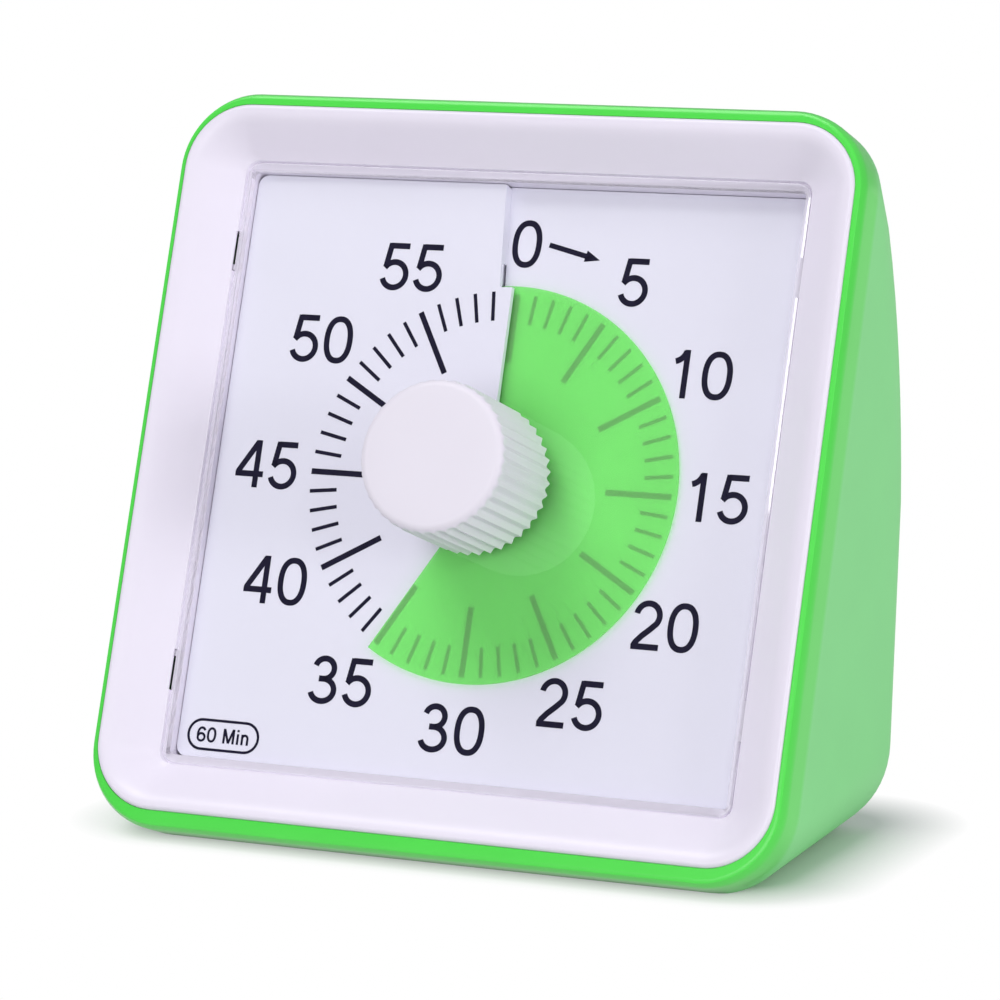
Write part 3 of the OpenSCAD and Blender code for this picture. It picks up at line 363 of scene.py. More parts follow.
def case_plastic(rgb):
    """Gloss ABS of the case. Its rim is polished; behind it the sides carry a fine spark-eroded
    grain. The sides' colour is mixed paler with painted sheen, which stands in for the white
    that their grain mirrors at grazing angles."""
    material, tree, place = start_material("moulded_abs_green")
    height = distance_along(tree, place, OUT, FACE.translation)
    turn = {"From_Min": RIM_START * MM, "From_Max": RIM_FULL * MM}
    rim = add_node(tree, "MapRange", [("Value", height)], **turn)
    # The sides' paler tone is painted sheen: the case's green mixed with a pale green-white
    painted_sheen_tone = [0.66 * c + 0.36 * p for c, p in zip(rgb, linear("#BFE6CB"))]
    sides, edge = (mottled(tree, place, tone, 12.0, 0.02) for tone in (painted_sheen_tone, rgb))
    mixed = [("Factor", rim), (6, sides), (7, edge)]
    tone = add_node(tree, "Mix", mixed, data_type="RGBA").outputs[2]
    rough, deep = (
        add_node(tree, "MapRange", [("Value", rim)], To_Min=low, To_Max=high)
        for low, high in ((0.5, 0.28), (1.0, 0.15))
    )
    pattern = {"Scale": 1 / (0.3 * MM), "Detail": 2.0, "Roughness": 0.6}
    grain = add_node(tree, "TexNoise", [("Vector", place)], **pattern)
    relief = add_node(tree, "Math", [(0, grain), (1, deep)], operation="MULTIPLY")
    bump = add_node(tree, "Bump", [("Height", relief)], Distance=0.006 * MM)
    links = [("Base Color", tone), ("Roughness", rough), ("Normal", bump)]
    shader = add_node(tree, "BsdfPrincipled", links, IOR=1.54)
    add_node(tree, "OutputMaterial", [("Surface", shader)])
    return material


# ---- Modelling ----
def clear_selection():
    if bpy.context.mode != "OBJECT":
        bpy.ops.object.mode_set(mode="OBJECT")
    bpy.ops.object.select_all(action="DESELECT")


def select_only(*objects):
    clear_selection()
    for obj in objects:
        obj.select_set(True)
    bpy.context.view_layer.objects.active = objects[0]


def edit(obj):
    """Opens a mesh in edit mode, with all of it selected."""
    select_only(obj)
    bpy.ops.object.mode_set(mode="EDIT")
    bpy.ops.mesh.select_all(action="SELECT")


def pick(obj, kind, test):
    """In edit mode, selects only the verts or faces whose middle passes the test."""
    bpy.ops.mesh.select_mode(type={"verts": "VERT", "faces": "FACE"}[kind])
    bpy.ops.mesh.select_all(action="DESELECT")
    mesh = bmesh.from_edit_mesh(obj.data)
    for item in getattr(mesh, kind):
        corners = [item] if kind == "verts" else list(item.verts)
        middle = sum((v.co for v in corners), Vector()) / len(corners)
        if test(middle, item):
            item.select_set(True)
    mesh.select_flush_mode()
    bmesh.update_edit_mesh(obj.data)


def add_object(name, data):
    obj = bpy.data.objects.new(name, data)
    bpy.context.scene.collection.objects.link(obj)
    return obj


def primitive(kind, name, scale=(1, 1, 1), **settings):
    """Adds a primitive, names it, and applies its place and scale to its mesh."""
    clear_selection()
    getattr(bpy.ops.mesh, f"primitive_{kind}_add")(**settings)
    obj = bpy.context.object
    obj.name = obj.data.name = name
    obj.scale = scale
    bpy.ops.object.transform_apply(location=True, rotation=True, scale=True)
    return obj


def rounded_plate(name, width, height, radius, z, y=0.0, segments=12):
    """A flat plate with rounded corners, left in edit mode with its face selected."""
    obj = primitive("plane", name, (width, height, 1), size=1, location=(0, y, z))
    edit(obj)
    bpy.ops.mesh.select_mode(type="VERT")
    bpy.ops.mesh.bevel(affect="VERTICES", offset=radius, segments=segments)
    bpy.ops.mesh.select_mode(type="FACE")
    bpy.ops.mesh.select_all(action="SELECT")
    return obj


def raise_by(height):
    bpy.ops.mesh.extrude_region_move(TRANSFORM_OT_translate={"value": (0, 0, height)})


def inset_by(width, rise=0.0):
    bpy.ops.mesh.inset(thickness=width, depth=rise)


def resize_selected(value, centre=(0, 0, 0)):
    bpy.ops.transform.resize(value=value, center_override=centre)


def quarter_round(radius, steps):
    """For each step of a rounded edge, how far it goes in, how far up, and its share of a
    quarter turn when it is done."""
    for k in range(steps):
        a, b = math.radians(90 * k / steps), math.radians(90 * (k + 1) / steps)
        yield radius * (math.cos(a) - math.cos(b)), radius * (math.sin(b) - math.sin(a)), b


def modify(obj, kind, **settings):
    """Adds a modifier with its settings and applies it."""
    select_only(obj)
    modifier = obj.modifiers.new(kind.title(), kind)
    for name, value in settings.items():
        setattr(modifier, name, value)
    bpy.ops.object.modifier_apply(modifier=modifier.name)


def cut(obj, cutter, operation="DIFFERENCE"):
    """Cuts, joins or intersects obj with cutter, which is used up."""
    modify(obj, "BOOLEAN", object=cutter, operation=operation, solver="EXACT")
    bpy.data.objects.remove(cutter)


def join(objects, name):
    select_only(*objects)
    bpy.ops.object.join()
    obj = bpy.context.object
    obj.name = obj.data.name = name
    return obj


def outward(obj):
    """Turns a closed mesh's faces outwards."""
    edit(obj)
    bpy.ops.mesh.normals_make_consistent(inside=False)
    if bmesh.from_edit_mesh(obj.data).calc_volume(signed=True) < 0:
        bpy.ops.mesh.flip_normals()
    clear_selection()


def finish_piece(obj, body, material, replaces, angle, place=FACE):
    """Puts a finished mesh in its place, gives it its finish and hangs it on its body."""
    clear_selection()
    obj.data.transform(place)
    obj.data.materials.clear()
    obj.data.materials.append(material)
    select_only(obj)
    bpy.ops.object.shade_smooth_by_angle(angle=math.radians(angle))
    modify(obj, "WEIGHTED_NORMAL", keep_sharp=True, weight=100)
    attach(obj, body)
    if replaces:
        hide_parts(*replaces)


def box_between(name, low, high):
    """A cube primitive stretched between two corners, as a cutter or a block."""
    low, high = Vector(low), Vector(high)
    return primitive("cube", name, high - low, size=1, location=(low + high) / 2)


def tab_places():
    """Side, level and middle height of each of the lens's four snap tabs."""
    up = mm(sizes().bezel_up)
    return [(side, level, up + level * TAB_HEIGHT) for side in (-1, 1) for level in (-1, 1)]


# ---- Bezel ----
SKIRT_FOOT = 0.1
PLATE_BACK = -2.2
BEZEL_EDGE = 0.5
BEZEL_SKIN = 1.5
EDGE_STEPS = 7
DISH_STEPS = 9
DISH_ROLL = 0.32
# The small radius at the window's lip: how far in and down its two steps go, and altogether
LIP_ROUND = ((0.1, -0.03), (0.05, -0.1))
LIP_IN, LIP_DOWN = 0.15, 0.13
LEDGE_HALF = 31.3
WALL_HALF = 32.75
TAB_LENGTH = 4.1
TAB_HEIGHT = 22.5
TAB_THICKNESS = 0.4
TAB_REACH = 0.85
TAB_WIDTH = 0.6
# Each slot is a fine groove along the lip, open to a shaft behind it. GROOVE and SHAFT are their
# spans outwards from the window's edge
SLOT_TOP = 0.25
SLOT_FOOT = -1.0
SLOT_PLAY = 0.1
GROOVE = (-0.02, 0.14)
SHAFT = (0.1, 2.3)
GROOVE_ABOVE = 0.5
POST_RADIUS = 1.35
POST_ACROSS, POST_UP = 34.15, 13.0
POST_FOOT, POST_SINK = -3.0, 0.1
TONGUE_ACROSS, TONGUE_HALF = 20, 3
# Spans of a tongue up the face from the skirt's inner side, and out from the skirt's foot
TONGUE_UP, TONGUE_OUT = (-0.2, 0.8), (-1.8, 1.2)


def dish_fall(t):
    """Share of its whole fall that the dish has made at a share t of its width from the crest,
    which rolls over softly before the straight slope to the lip."""
    if t < DISH_ROLL:
        return t * t / (2 * DISH_ROLL - DISH_ROLL * DISH_ROLL)
    return (2 * t - DISH_ROLL) / (2 - DISH_ROLL)


def bezel_front(s, half, up, crest, lip):
    """The bezel's show side, from the foot of its skirt over the crest and down the dish to
    the window's lip, the lens's ledge and the foot of the window's wall."""
    width, corner = 2 * half, mm(s.bezel_corner)
    obj = rounded_plate("front_bezel_moulding", width, width, corner, SKIRT_FOOT, up, 16)
    raise_by(crest - BEZEL_EDGE - SKIRT_FOOT)
    for inwards, rise, _ in quarter_round(BEZEL_EDGE, EDGE_STEPS):
        inset_by(inwards, rise)
    # Dish, slightly hollow, its opening drawn out to the window's own height
    window_half = mm(s.window_width) / 2
    run = half - BEZEL_EDGE - window_half - LIP_IN
    stretch = mm(s.window_height) / 2 - window_half
    reach = half - BEZEL_EDGE
    taller = 0.0
    for k in range(DISH_STEPS):
        t0, t1 = k / DISH_STEPS, (k + 1) / DISH_STEPS
        inset_by(run / DISH_STEPS, (lip - crest) * (dish_fall(t1) - dish_fall(t0)))
        reach -= run / DISH_STEPS
        grow = stretch * (t1 - t0)
        resize_selected((1, (reach + taller + grow) / (reach + taller), 1), (0, up, 0))
        taller += grow
    # The lip, then the recess's wall and the ledge
    for inwards, rise in LIP_ROUND:
        inset_by(inwards, rise)
    raise_by(-(mm(s.lens_thickness) + mm(s.lens_gap) - LIP_DOWN))
    inset_by(window_half - LEDGE_HALF)
    resize_selected((1, LEDGE_HALF / (LEDGE_HALF + stretch), 1), (0, up, 0))
    raise_by(PLATE_BACK - (lip - mm(s.lens_thickness) - mm(s.lens_gap)))
    bpy.ops.mesh.delete(type="FACE")
    return obj


def bezel_back(obj, half, lip):
    """Sinks the bezel's hidden side into its foot, a skin's thickness behind the show side."""
    pick(obj, "faces", lambda m, f: len(f.verts) > 4 and abs(m.z - SKIRT_FOOT) < 0.01)
    inset_by(BEZEL_SKIN)
    raise_by(lip - BEZEL_SKIN - SKIRT_FOOT)
    inset_by(half - BEZEL_SKIN - WALL_HALF)
    raise_by(PLATE_BACK - lip + BEZEL_SKIN)
    inset_by(WALL_HALF - LEDGE_HALF)
    bpy.ops.mesh.delete(type="FACE")
    bpy.ops.mesh.select_all(action="SELECT")
    bpy.ops.mesh.remove_doubles(threshold=0.04)


def make_bezel():
    s = sizes()
    half, up = mm(s.bezel_width) / 2, mm(s.bezel_up)
    crest, lip = mm(s.bezel_crest), mm(s.bezel_lip)
    obj = bezel_front(s, half, up, crest, lip)
    bezel_back(obj, half, lip)
    outward(obj)
    # The lens sits to the right in its play, so the lip is cut through only on the left
    window_half = mm(s.window_width) / 2
    reach = TAB_LENGTH / 2 + SLOT_PLAY
    for side, _, y in tab_places():
        groove_top = lip + GROOVE_ABOVE if side < 0 else lip - SLOT_TOP
        for (near, far), top in ((GROOVE, groove_top), (SHAFT, lip - SLOT_TOP)):
            left, right = sorted((side * (window_half + near), side * (window_half + far)))
            low, high = (left, y - reach, SLOT_FOOT), (right, y + reach, top)
            cut(obj, box_between("slot", low, high))
    # Posts that the chassis is screwed to, and tongues that locate the skirt
    head = lip - BEZEL_SKIN + POST_SINK
    inner = up - half + BEZEL_SKIN
    for side in (-1, 1):
        for level in (-1, 1):
            place = (side * POST_ACROSS, level * POST_UP, (head + POST_FOOT) / 2)
            post = {"vertices": 32, "radius": POST_RADIUS, "depth": head - POST_FOOT}
            cut(obj, primitive("cylinder", "post", location=place, **post), "UNION")
        ends = (
            (side * TONGUE_ACROSS + end * TONGUE_HALF, inner + across, SKIRT_FOOT + out)
            for end, across, out in zip((-1, 1), TONGUE_UP, TONGUE_OUT)
        )
        cut(obj, box_between("tongue", *ends), "UNION")
    finish = moulded("moulded_abs_pale", list(colours().bezel), 0.38, 0.3, 0.0025, 0.008)
    finish_piece(obj, "case", finish, ["front_bezel"], 30)


# ---- Case ----
def merged_copy(node, name):
    """A copy of a solid with its loose triangles merged and its flat faces made whole."""
    clear_selection()
    mesh = frame["nodes"][node].data.copy()
    mesh.name = name
    mesh.transform(Matrix.Scale(1 / MM, 4))
    obj = add_object(name, mesh)
    edit(obj)
    bpy.ops.mesh.customdata_custom_splitnormals_clear()
    bpy.ops.mesh.remove_doubles(threshold=0.002)
    bpy.ops.mesh.dissolve_limited(angle_limit=math.radians(0.6))
    clear_selection()
    return obj


def make_shell():
    finish = case_plastic(list(colours().shell))
    for node, body, width, angle in (
        ("rear_shell", "case", 0.06, 50),
        ("battery_door", "battery_door", 0.15, 40),
    ):
        obj = merged_copy(node, node + "_moulding")
        limit = {"limit_method": "ANGLE", "angle_limit": math.radians(angle)}
        modify(obj, "BEVEL", width=width, segments=2, harden_normals=False, **limit)
        finish_piece(obj, body, finish, [node], 30, WORLD)


# ---- Lens ----
LENS_CORNER = 1.45
LENS_CHAMFER = 0.22
CHAMFER_ANGLE = 30
LENS_HOLE = 2.3
TAB_DROP = 0.2
TAB_FOOT = -0.7
TAB_LEG = 0.35
# Lands at the tabs break the chamfer; on the right they lie against the bezel
LAND_WIDTH = 0.4
LAND_DEPTH = 0.5
LAND_DROP = 0.006
LAND_TOUCH = 0.01
LAND_BACK = 0.004


def make_lens():
    s = sizes()
    up, gap = mm(s.bezel_up), mm(s.lens_gap)
    front = mm(s.bezel_lip) - gap
    thick = mm(s.lens_thickness)
    width, height = mm(s.window_width) - 2 * gap, mm(s.window_height) - 2 * gap
    obj = rounded_plate("lens_moulding", width, height, LENS_CORNER, front - thick, up)
    drop = LENS_CHAMFER * math.tan(math.radians(CHAMFER_ANGLE))
    raise_by(thick - drop)
    inset_by(LENS_CHAMFER, drop)
    outward(obj)
    hole = {"vertices": 64, "radius": LENS_HOLE, "depth": 4}
    cut(obj, primitive("cylinder", "hole", location=(0, 0, front), **hole))
    # Snap tabs, out through the bezel's slots and down behind its ledge
    window_half = mm(s.window_width) / 2
    top = front - TAB_DROP
    for side, level, y in tab_places():
        reach = window_half - (LAND_TOUCH if side > 0 else gap + LAND_BACK)
        left, right = sorted((side * (window_half - gap - LAND_WIDTH), side * reach))
        low, high = y - TAB_LENGTH / 2, y + TAB_LENGTH / 2
        corners = (left, low, front - LAND_DEPTH), (right, high, front - LAND_DROP)
        cut(obj, box_between("land", *corners), "UNION")
        low, high = sorted((y - level * TAB_LENGTH / 2, y - level * (TAB_LENGTH / 2 - TAB_WIDTH)))
        for near, foot in ((-2 * gap, top - TAB_THICKNESS), (TAB_LEG, TAB_FOOT)):
            left, right = sorted((side * (window_half + near), side * (window_half + TAB_REACH)))
            cut(obj, box_between("tab", (left, low, foot), (right, high, top)), "UNION")
    finish_piece(obj, "case", clear_styrene(), ["lens"], 30)


# ---- Knob ----
KNOB_BACK = 2.55
KNOB_FILLET = 0.9
FILLET_STEPS = 7
FRONT_SHRINK = 0.05
FRONT_INSET = 2.4
RIB_DEPTH = 0.42
RIB_FADE = 0.7
RIB_LEFT = 0.5
RIB_POINTS = 6
# Share of a rib's depth at each point of its outline from its tip to its root
RIB_OUTLINE = (0.0, 0.36, 0.8, 1.0)
HOLLOW_EDGE = 0.02
HOLLOW_RADIUS = 6.1
HOLLOW_DEPTH = 9.8
BOSS_RADIUS = 3.8
BORE_RADIUS = 2.02
BORE_DEPTH = 9.0


def rib_reach(phase, radius, left):
    """Reach of a rib's outline at a phase from 0, its tip, to half of RIB_POINTS, its root, where
    a share of its depth is left."""
    return radius - left * RIB_DEPTH * RIB_OUTLINE[min(phase, RIB_POINTS - phase)]


def shape_ring(obj, level, reach):
    """Resizes the many-sided face at a level, class by class, to the reach of each phase."""
    count = sizes().knob_ribs * RIB_POINTS
    for phase in range(RIB_POINTS):

        def in_class(m, v, phase=phase):
            if abs(m.z - level) > 1e-3 or all(len(f.verts) < count for f in v.link_faces):
                return False
            return round(math.atan2(m.y, m.x) / math.tau * count) % RIB_POINTS == phase

        pick(obj, "verts", in_class)
        mesh = bmesh.from_edit_mesh(obj.data)
        chosen = next(v for v in mesh.verts if v.select)
        factor = reach(phase) / math.hypot(chosen.co.x, chosen.co.y)
        resize_selected((factor, factor, 1), (0, 0, level))
    pick(obj, "faces", lambda m, f: abs(m.z - level) < 1e-3 and len(f.verts) == count)


def make_knob():
    s = sizes()
    radius, height = mm(s.knob_radius), mm(s.knob_height)
    count = s.knob_ribs * RIB_POINTS
    disc = {"vertices": count, "radius": radius, "fill_type": "NGON"}
    obj = primitive("circle", "knob_moulding", location=(0, 0, KNOB_BACK), **disc)
    edit(obj)
    shape_ring(obj, KNOB_BACK, lambda phase: rib_reach(phase, radius, 1.0))
    raise_by(height - KNOB_FILLET - RIB_FADE)
    # The ribs die away below and on the rounded front edge
    raise_by(RIB_FADE)
    level = KNOB_BACK + height - KNOB_FILLET
    front = radius - FRONT_SHRINK
    shape_ring(obj, level, lambda phase: rib_reach(phase, front, RIB_LEFT))
    for k, (_, rise, b) in enumerate(quarter_round(KNOB_FILLET, FILLET_STEPS)):
        raise_by(rise)
        level += rise
        core = front - KNOB_FILLET * (1 - math.cos(b))
        left = max(0.0, RIB_LEFT - (k + 1) / FILLET_STEPS)
        shape_ring(obj, level, lambda phase: rib_reach(phase, core, left))
    inset_by(FRONT_INSET)
    # Hollow underside round a boss, and the boss's bore for the spindle
    pick(obj, "faces", lambda m, f: abs(m.z - KNOB_BACK) < 1e-3 and len(f.verts) == count)
    inset_by(HOLLOW_EDGE)
    shape_ring(obj, KNOB_BACK, lambda phase: HOLLOW_RADIUS)
    raise_by(HOLLOW_DEPTH)
    inset_by(HOLLOW_RADIUS - BOSS_RADIUS)
    raise_by(-HOLLOW_DEPTH)
    inset_by(BOSS_RADIUS - BORE_RADIUS)
    raise_by(BORE_DEPTH)
    outward(obj)
    finish = moulded("moulded_abs_knob", list(colours().knob), 0.48, 0.3, 0.003, 0.006)
    finish_piece(obj, "spindle", finish, ["knob"], 28)


# ---- Dial ----
PLATE_HALF = 31.22
PLATE_CORNER = 1.2
PLATE_THICKNESS = 0.6
SHEET_REACH = 46.0
OUTLINE_REACH = 6
SLOT_ANGLE = -4.3
SLOT_RADIUS = 23.3
FLAP_RADIUS = 20.6
FLAP_LAP = 4
HUB_HOLE = 4.6
RISER_REACH = 31.45
RISER_DROP = 0.02
# The wall behind the slot: its span across, its clearance from the disc, and how far its top
# stays below the dial's surface
WALL_BACK = (-1.4, -0.3)
WALL_PLAY, WALL_DROP = 0.2, 0.3
SKIRT_DROP = 0.4
SKIRT_WALL = 1.2
FLANGE_WIDTH, FLANGE_HEIGHT, FLANGE_CORNER = 65.1, 63.3, 0.4
FLANGE_RIM = 2.4
FLANGE_DROP = 0.4
FLANGE_THICKNESS = 0.8
DISC_HOLE = 4.205
DISC_THICKNESS = 0.25
STEP = 2.0


def spiral(angle):
    """Height of the dial's surface at an angle, degrees clockwise from twelve o'clock."""
    return mm(sizes().pitch) * (angle / 360 - 0.5)


def clock_angle(x, y):
    """Degrees clockwise from twelve o'clock, counted on from the step in the dial."""
    return (math.degrees(math.atan2(x, y)) - SLOT_ANGLE) % 360 + SLOT_ANGLE


def helix_sheet(name, inner, outer, first, last, lift, rings):
    """A spiral strip from one radius to another, swept clockwise from a radial line."""
    obj = primitive("plane", name, size=1, location=(0.5, 0.5, 0))
    edit(obj)
    pick(obj, "verts", lambda m, v: m.x > 0.5)
    bpy.ops.mesh.delete(type="VERT")
    bpy.ops.mesh.select_all(action="SELECT")
    resize_selected((1, outer - inner, 1))
    bpy.ops.transform.translate(value=(0, inner, 0))
    bpy.ops.mesh.subdivide(number_cuts=rings - 1)
    clear_selection()
    turn = Matrix.Rotation(-math.radians(first), 4, "Z")
    obj.data.transform(Matrix.Translation((0, 0, spiral(first) + lift)) @ turn)
    span = last - first
    steps = round(span / STEP)
    sweep = {"angle": -math.radians(span), "screw_offset": mm(sizes().pitch) * span / 360}
    plain = {"use_smooth_shade": False, "use_normal_calculate": False}
    modify(obj, "SCREW", steps=steps, render_steps=steps, **sweep, **plain)
    return obj


def face_up(obj):
    """Turns a sheet's faces so that they look out of the dial."""
    edit(obj)
    if sum(f.normal.z for f in bmesh.from_edit_mesh(obj.data).faces) < 0:
        bpy.ops.mesh.flip_normals()
    clear_selection()


def frame_wall(plate, rim, cuts, thickness):
    """Turns a plate into the frame along its edge, and gives it its thickness."""
    inset_by(rim)
    bpy.ops.mesh.delete(type="FACE")
    if cuts:
        bpy.ops.mesh.select_all(action="SELECT")
        bpy.ops.mesh.subdivide(number_cuts=cuts)
    clear_selection()
    modify(plate, "SOLIDIFY", thickness=thickness, offset=1.0)


def make_dial():
    s = sizes()
    up = mm(s.bezel_up)
    turn = SLOT_ANGLE + 360
    outer = helix_sheet("dial_sheet", FLAP_RADIUS, SHEET_REACH, SLOT_ANGLE, turn, 0.0, 6)
    inner = helix_sheet("flap_sheet", HUB_HOLE, FLAP_RADIUS, SLOT_ANGLE, turn + FLAP_LAP, 0.0, 4)
    obj = join([outer, inner], "dial_sheet")
    edit(obj)
    bpy.ops.mesh.remove_doubles(threshold=0.01)
    face_up(obj)
    modify(obj, "SOLIDIFY", thickness=PLATE_THICKNESS, offset=-1.0, use_even_offset=True)
    width = 2 * PLATE_HALF
    outline = rounded_plate("outline", width, width, PLATE_CORNER, -OUTLINE_REACH, up)
    raise_by(2 * OUTLINE_REACH)
    outward(outline)
    cut(obj, outline, "INTERSECT")
    # Riser between the two ends of the spiral, and the wall under the dial that the open end of
    # the slot looks on to, clear of the disc
    foot = PLATE_BACK - SKIRT_DROP
    risen = spiral(turn)
    near, far = mm(s.disc_radius) + WALL_PLAY, SLOT_RADIUS + WALL_PLAY
    walls = [
        box_between(name, (left, start, foot), (right, end, risen - drop))
        for name, left, right, start, end, drop in (
            ("riser", -PLATE_THICKNESS, 0, SLOT_RADIUS, RISER_REACH, RISER_DROP),
            ("slot_back", *WALL_BACK, near, far, WALL_DROP),
        )
    ]
    for wall in walls:
        wall.data.transform(Matrix.Rotation(-math.radians(SLOT_ANGLE), 4, "Z"))
    skirt = rounded_plate("skirt", width, width, PLATE_CORNER, foot, up)
    frame_wall(skirt, SKIRT_WALL, 12, SKIRT_WALL)
    size = (FLANGE_WIDTH, FLANGE_HEIGHT, FLANGE_CORNER)
    flange = rounded_plate("flange", *size, foot - FLANGE_DROP)
    frame_wall(flange, FLANGE_RIM, 0, FLANGE_THICKNESS)
    obj = join([obj, *walls, skirt, flange], "dial_plate_moulding")
    finish = printed_sheet(list(colours().dial))
    finish_piece(obj, "case", finish, ["dial_plate"], 20)


def make_disc():
    s = sizes()
    radius = mm(s.disc_radius)
    lift = (mm(s.pitch) - PLATE_THICKNESS) / 2
    last = s.minutes_shown * 6
    obj = helix_sheet("time_disc_sheet", DISC_HOLE, radius, last - 360, last - 0.5, lift, 4)
    face_up(obj)
    modify(obj, "SOLIDIFY", thickness=DISC_THICKNESS, offset=0.0, use_even_offset=True)
    finish_piece(obj, "disc", disc_film(list(colours().disc)), ["time_disc"], 20)


# ---- Printing ----
INK_LIFT = 0.012
INK_THICKNESS = 0.02


def arc(cx, cy, rx, ry, start, end, points, power=2.0):
    """Points of an elliptical arc, degrees counter-clockwise from the x axis; a power above 2
    squares it a little."""
    found = []
    for k in range(points + 1):
        a = math.radians(start + (end - start) * k / points)
        c, s = (math.copysign(abs(w) ** (2 / power), w) for w in (math.cos(a), math.sin(a)))
        found.append((cx + rx * c, cy + ry * s))
    return found


# Centre lines of upright sans-serif characters, in units of their height; each is a list of
# strokes, and a stroke that ends where it starts is closed.
STROKES = {
    "0": [arc(0.33, 0.5, 0.265, 0.44, 0, 360, 48, 2.3)],
    "1": [[(0.40, 0.0), (0.40, 1.0)], arc(0.10, 1.04, 0.285, 0.29, -14, -78, 8)],
    "2": [
        arc(0.325, 0.69, 0.245, 0.25, 172, -38, 26)
        + [(0.40, 0.42), (0.24, 0.28), (0.12, 0.15), (0.075, 0.055)],
        [(0.03, 0.06), (0.62, 0.06)],
    ],
    "3": [
        arc(0.305, 0.73, 0.215, 0.21, 165, -90, 24),
        arc(0.305, 0.29, 0.262, 0.232, 90, -165, 28),
        [(0.20, 0.52), (0.31, 0.52)],
    ],
    "4": [
        [(0.475, 0.0), (0.475, 1.0)],
        [(0.455, 0.965), (0.06, 0.325)],
        [(0.0, 0.285), (0.64, 0.285)],
    ],
    "5": [
        [(0.17, 0.94), (0.60, 0.94)],
        [(0.185, 0.99), (0.105, 0.485)],
        arc(0.315, 0.325, 0.268, 0.27, 148, -162, 32),
    ],
    "6": [
        arc(0.325, 0.305, 0.255, 0.25, 0, 360, 40),
        arc(0.345, 0.5, 0.28, 0.44, 36, 200, 24, 2.2),
    ],
    "M": [
        [(0.09, 0.0), (0.09, 1.0)],
        [(0.79, 0.0), (0.79, 1.0)],
        [(0.11, 0.97), (0.44, 0.04)],
        [(0.77, 0.97), (0.44, 0.04)],
    ],
    "i": [[(0.10, 0.0), (0.10, 0.72)], [(0.10, 0.86), (0.10, 1.0)]],
    "n": [[(0.10, 0.0), (0.10, 0.72)], arc(0.30, 0.44, 0.20, 0.225, 180, 0, 16) + [(0.50, 0.0)]],
}
ADVANCE = {"M": 1.02, "i": 0.34, "n": 0.74, " ": 0.42}
DIGIT_ADVANCE = 0.765
DIGIT_WIDTH = 0.65


def ribbon(points, width):
    """A flat band of even width along a line of points."""
    closed = len(points) > 2 and math.dist(points[0], points[-1]) < 1e-6
    if closed:
        points = points[:-1]
    pen = bpy.data.curves.new("pen", "CURVE")
    tip = pen.splines.new("POLY")
    tip.points.add(1)
    for point, x in zip(tip.points, (-width / 2, width / 2)):
        point.co = (x, 0, 0, 1)
    line = bpy.data.curves.new("band", "CURVE")
    line.dimensions = "3D"
    line.twist_mode = "Z_UP"
    line.bevel_mode = "OBJECT"
    line.bevel_object = add_object("pen", pen)
    path = line.splines.new("POLY")
    path.points.add(len(points) - 1)
    for point, place in zip(path.points, points):
        point.co = (*place, 0, 1)
    path.use_cyclic_u = closed
    select_only(add_object("band", line))
    bpy.ops.object.convert(target="MESH")
    bpy.data.objects.remove(line.bevel_object)
    return bpy.context.object


def write(word, x, y, height, stroke):
    """Writes a word centred on x, y, as flat bands of ink."""
    advances = [ADVANCE.get(character, DIGIT_ADVANCE) for character in word]
    start = -(sum(advances) - (DIGIT_ADVANCE - DIGIT_WIDTH)) / 2
    bands = []
    for character, advance in zip(word, advances):
        for points in STROKES.get(character, []):
            placed = [(x + (start + p) * height, y + (q - 0.5) * height) for p, q in points]
            bands.append(ribbon(placed, stroke))
        start += advance
    return bands


def print_on_dial(bands, name, finish):
    """Drapes flat printing over the dial's spiral and gives it the thickness of ink."""
    obj = join(bands, name)
    face_up(obj)
    for vert in obj.data.vertices:
        vert.co.z = spiral(clock_angle(vert.co.x, vert.co.y)) + INK_LIFT
    modify(obj, "SOLIDIFY", thickness=INK_THICKNESS, offset=0.0)
    finish_piece(obj, "case", finish, (), 20)


# Middle of each numeral on the face, in millimetres
NUMERALS = [
    ("0", 0.25, 25.55),
    ("5", 12.85, 22.0),
    ("10", 21.35, 12.75),
    ("15", 24.95, 0.2),
    ("20", 21.36, -13.20),
    ("25", 12.32, -21.89),
    ("30", -0.25, -25.57),
    ("35", -13.39, -21.69),
    ("40", -22.53, -11.78),
    ("45", -25.43, 0.37),
    ("50", -21.15, 14.07),
    ("55", -11.84, 22.21),
]
DIGIT_STROKE = 0.125
# Arrow from 0 towards 5
ARROW_TAIL, ARROW_TIP = Vector((2.82, 25.55)), Vector((8.70, 24.15))
ARROW_WIDTH = 0.55
HEAD_LENGTH, HEAD_HALF_WIDTH = 1.7, 0.62
# Left, right, bottom and top of the small lozenge that gives the dial's full range
LOZENGE = (-30.04, -21.92, -30.06, -26.98)
LOZENGE_LINE = 0.28
RANGE_HEIGHT, RANGE_STROKE = 1.55, 0.25
# Inner end and width of the long marks and of the short ones, and where both end
LONG_MARK, SHORT_MARK = (12.9, 0.61), (17.06, 0.39)
MARK_END = 20.15


def arrow():
    along = (ARROW_TIP - ARROW_TAIL).normalized()
    shaft = ribbon([tuple(ARROW_TAIL), tuple(ARROW_TIP - along * 1.0)], ARROW_WIDTH)
    # A circle of three corners is a triangle, 1.5 times its radius long
    radius = HEAD_LENGTH / 1.5
    head = primitive(
        "circle",
        "head",
        (HEAD_HALF_WIDTH / math.cos(math.radians(30)), radius, 1),
        vertices=3,
        radius=1,
        fill_type="NGON",
        location=(*(ARROW_TIP - along * radius), 0),
        rotation=(0, 0, math.atan2(along.y, along.x) - math.radians(90)),
    )
    return [shaft, head]


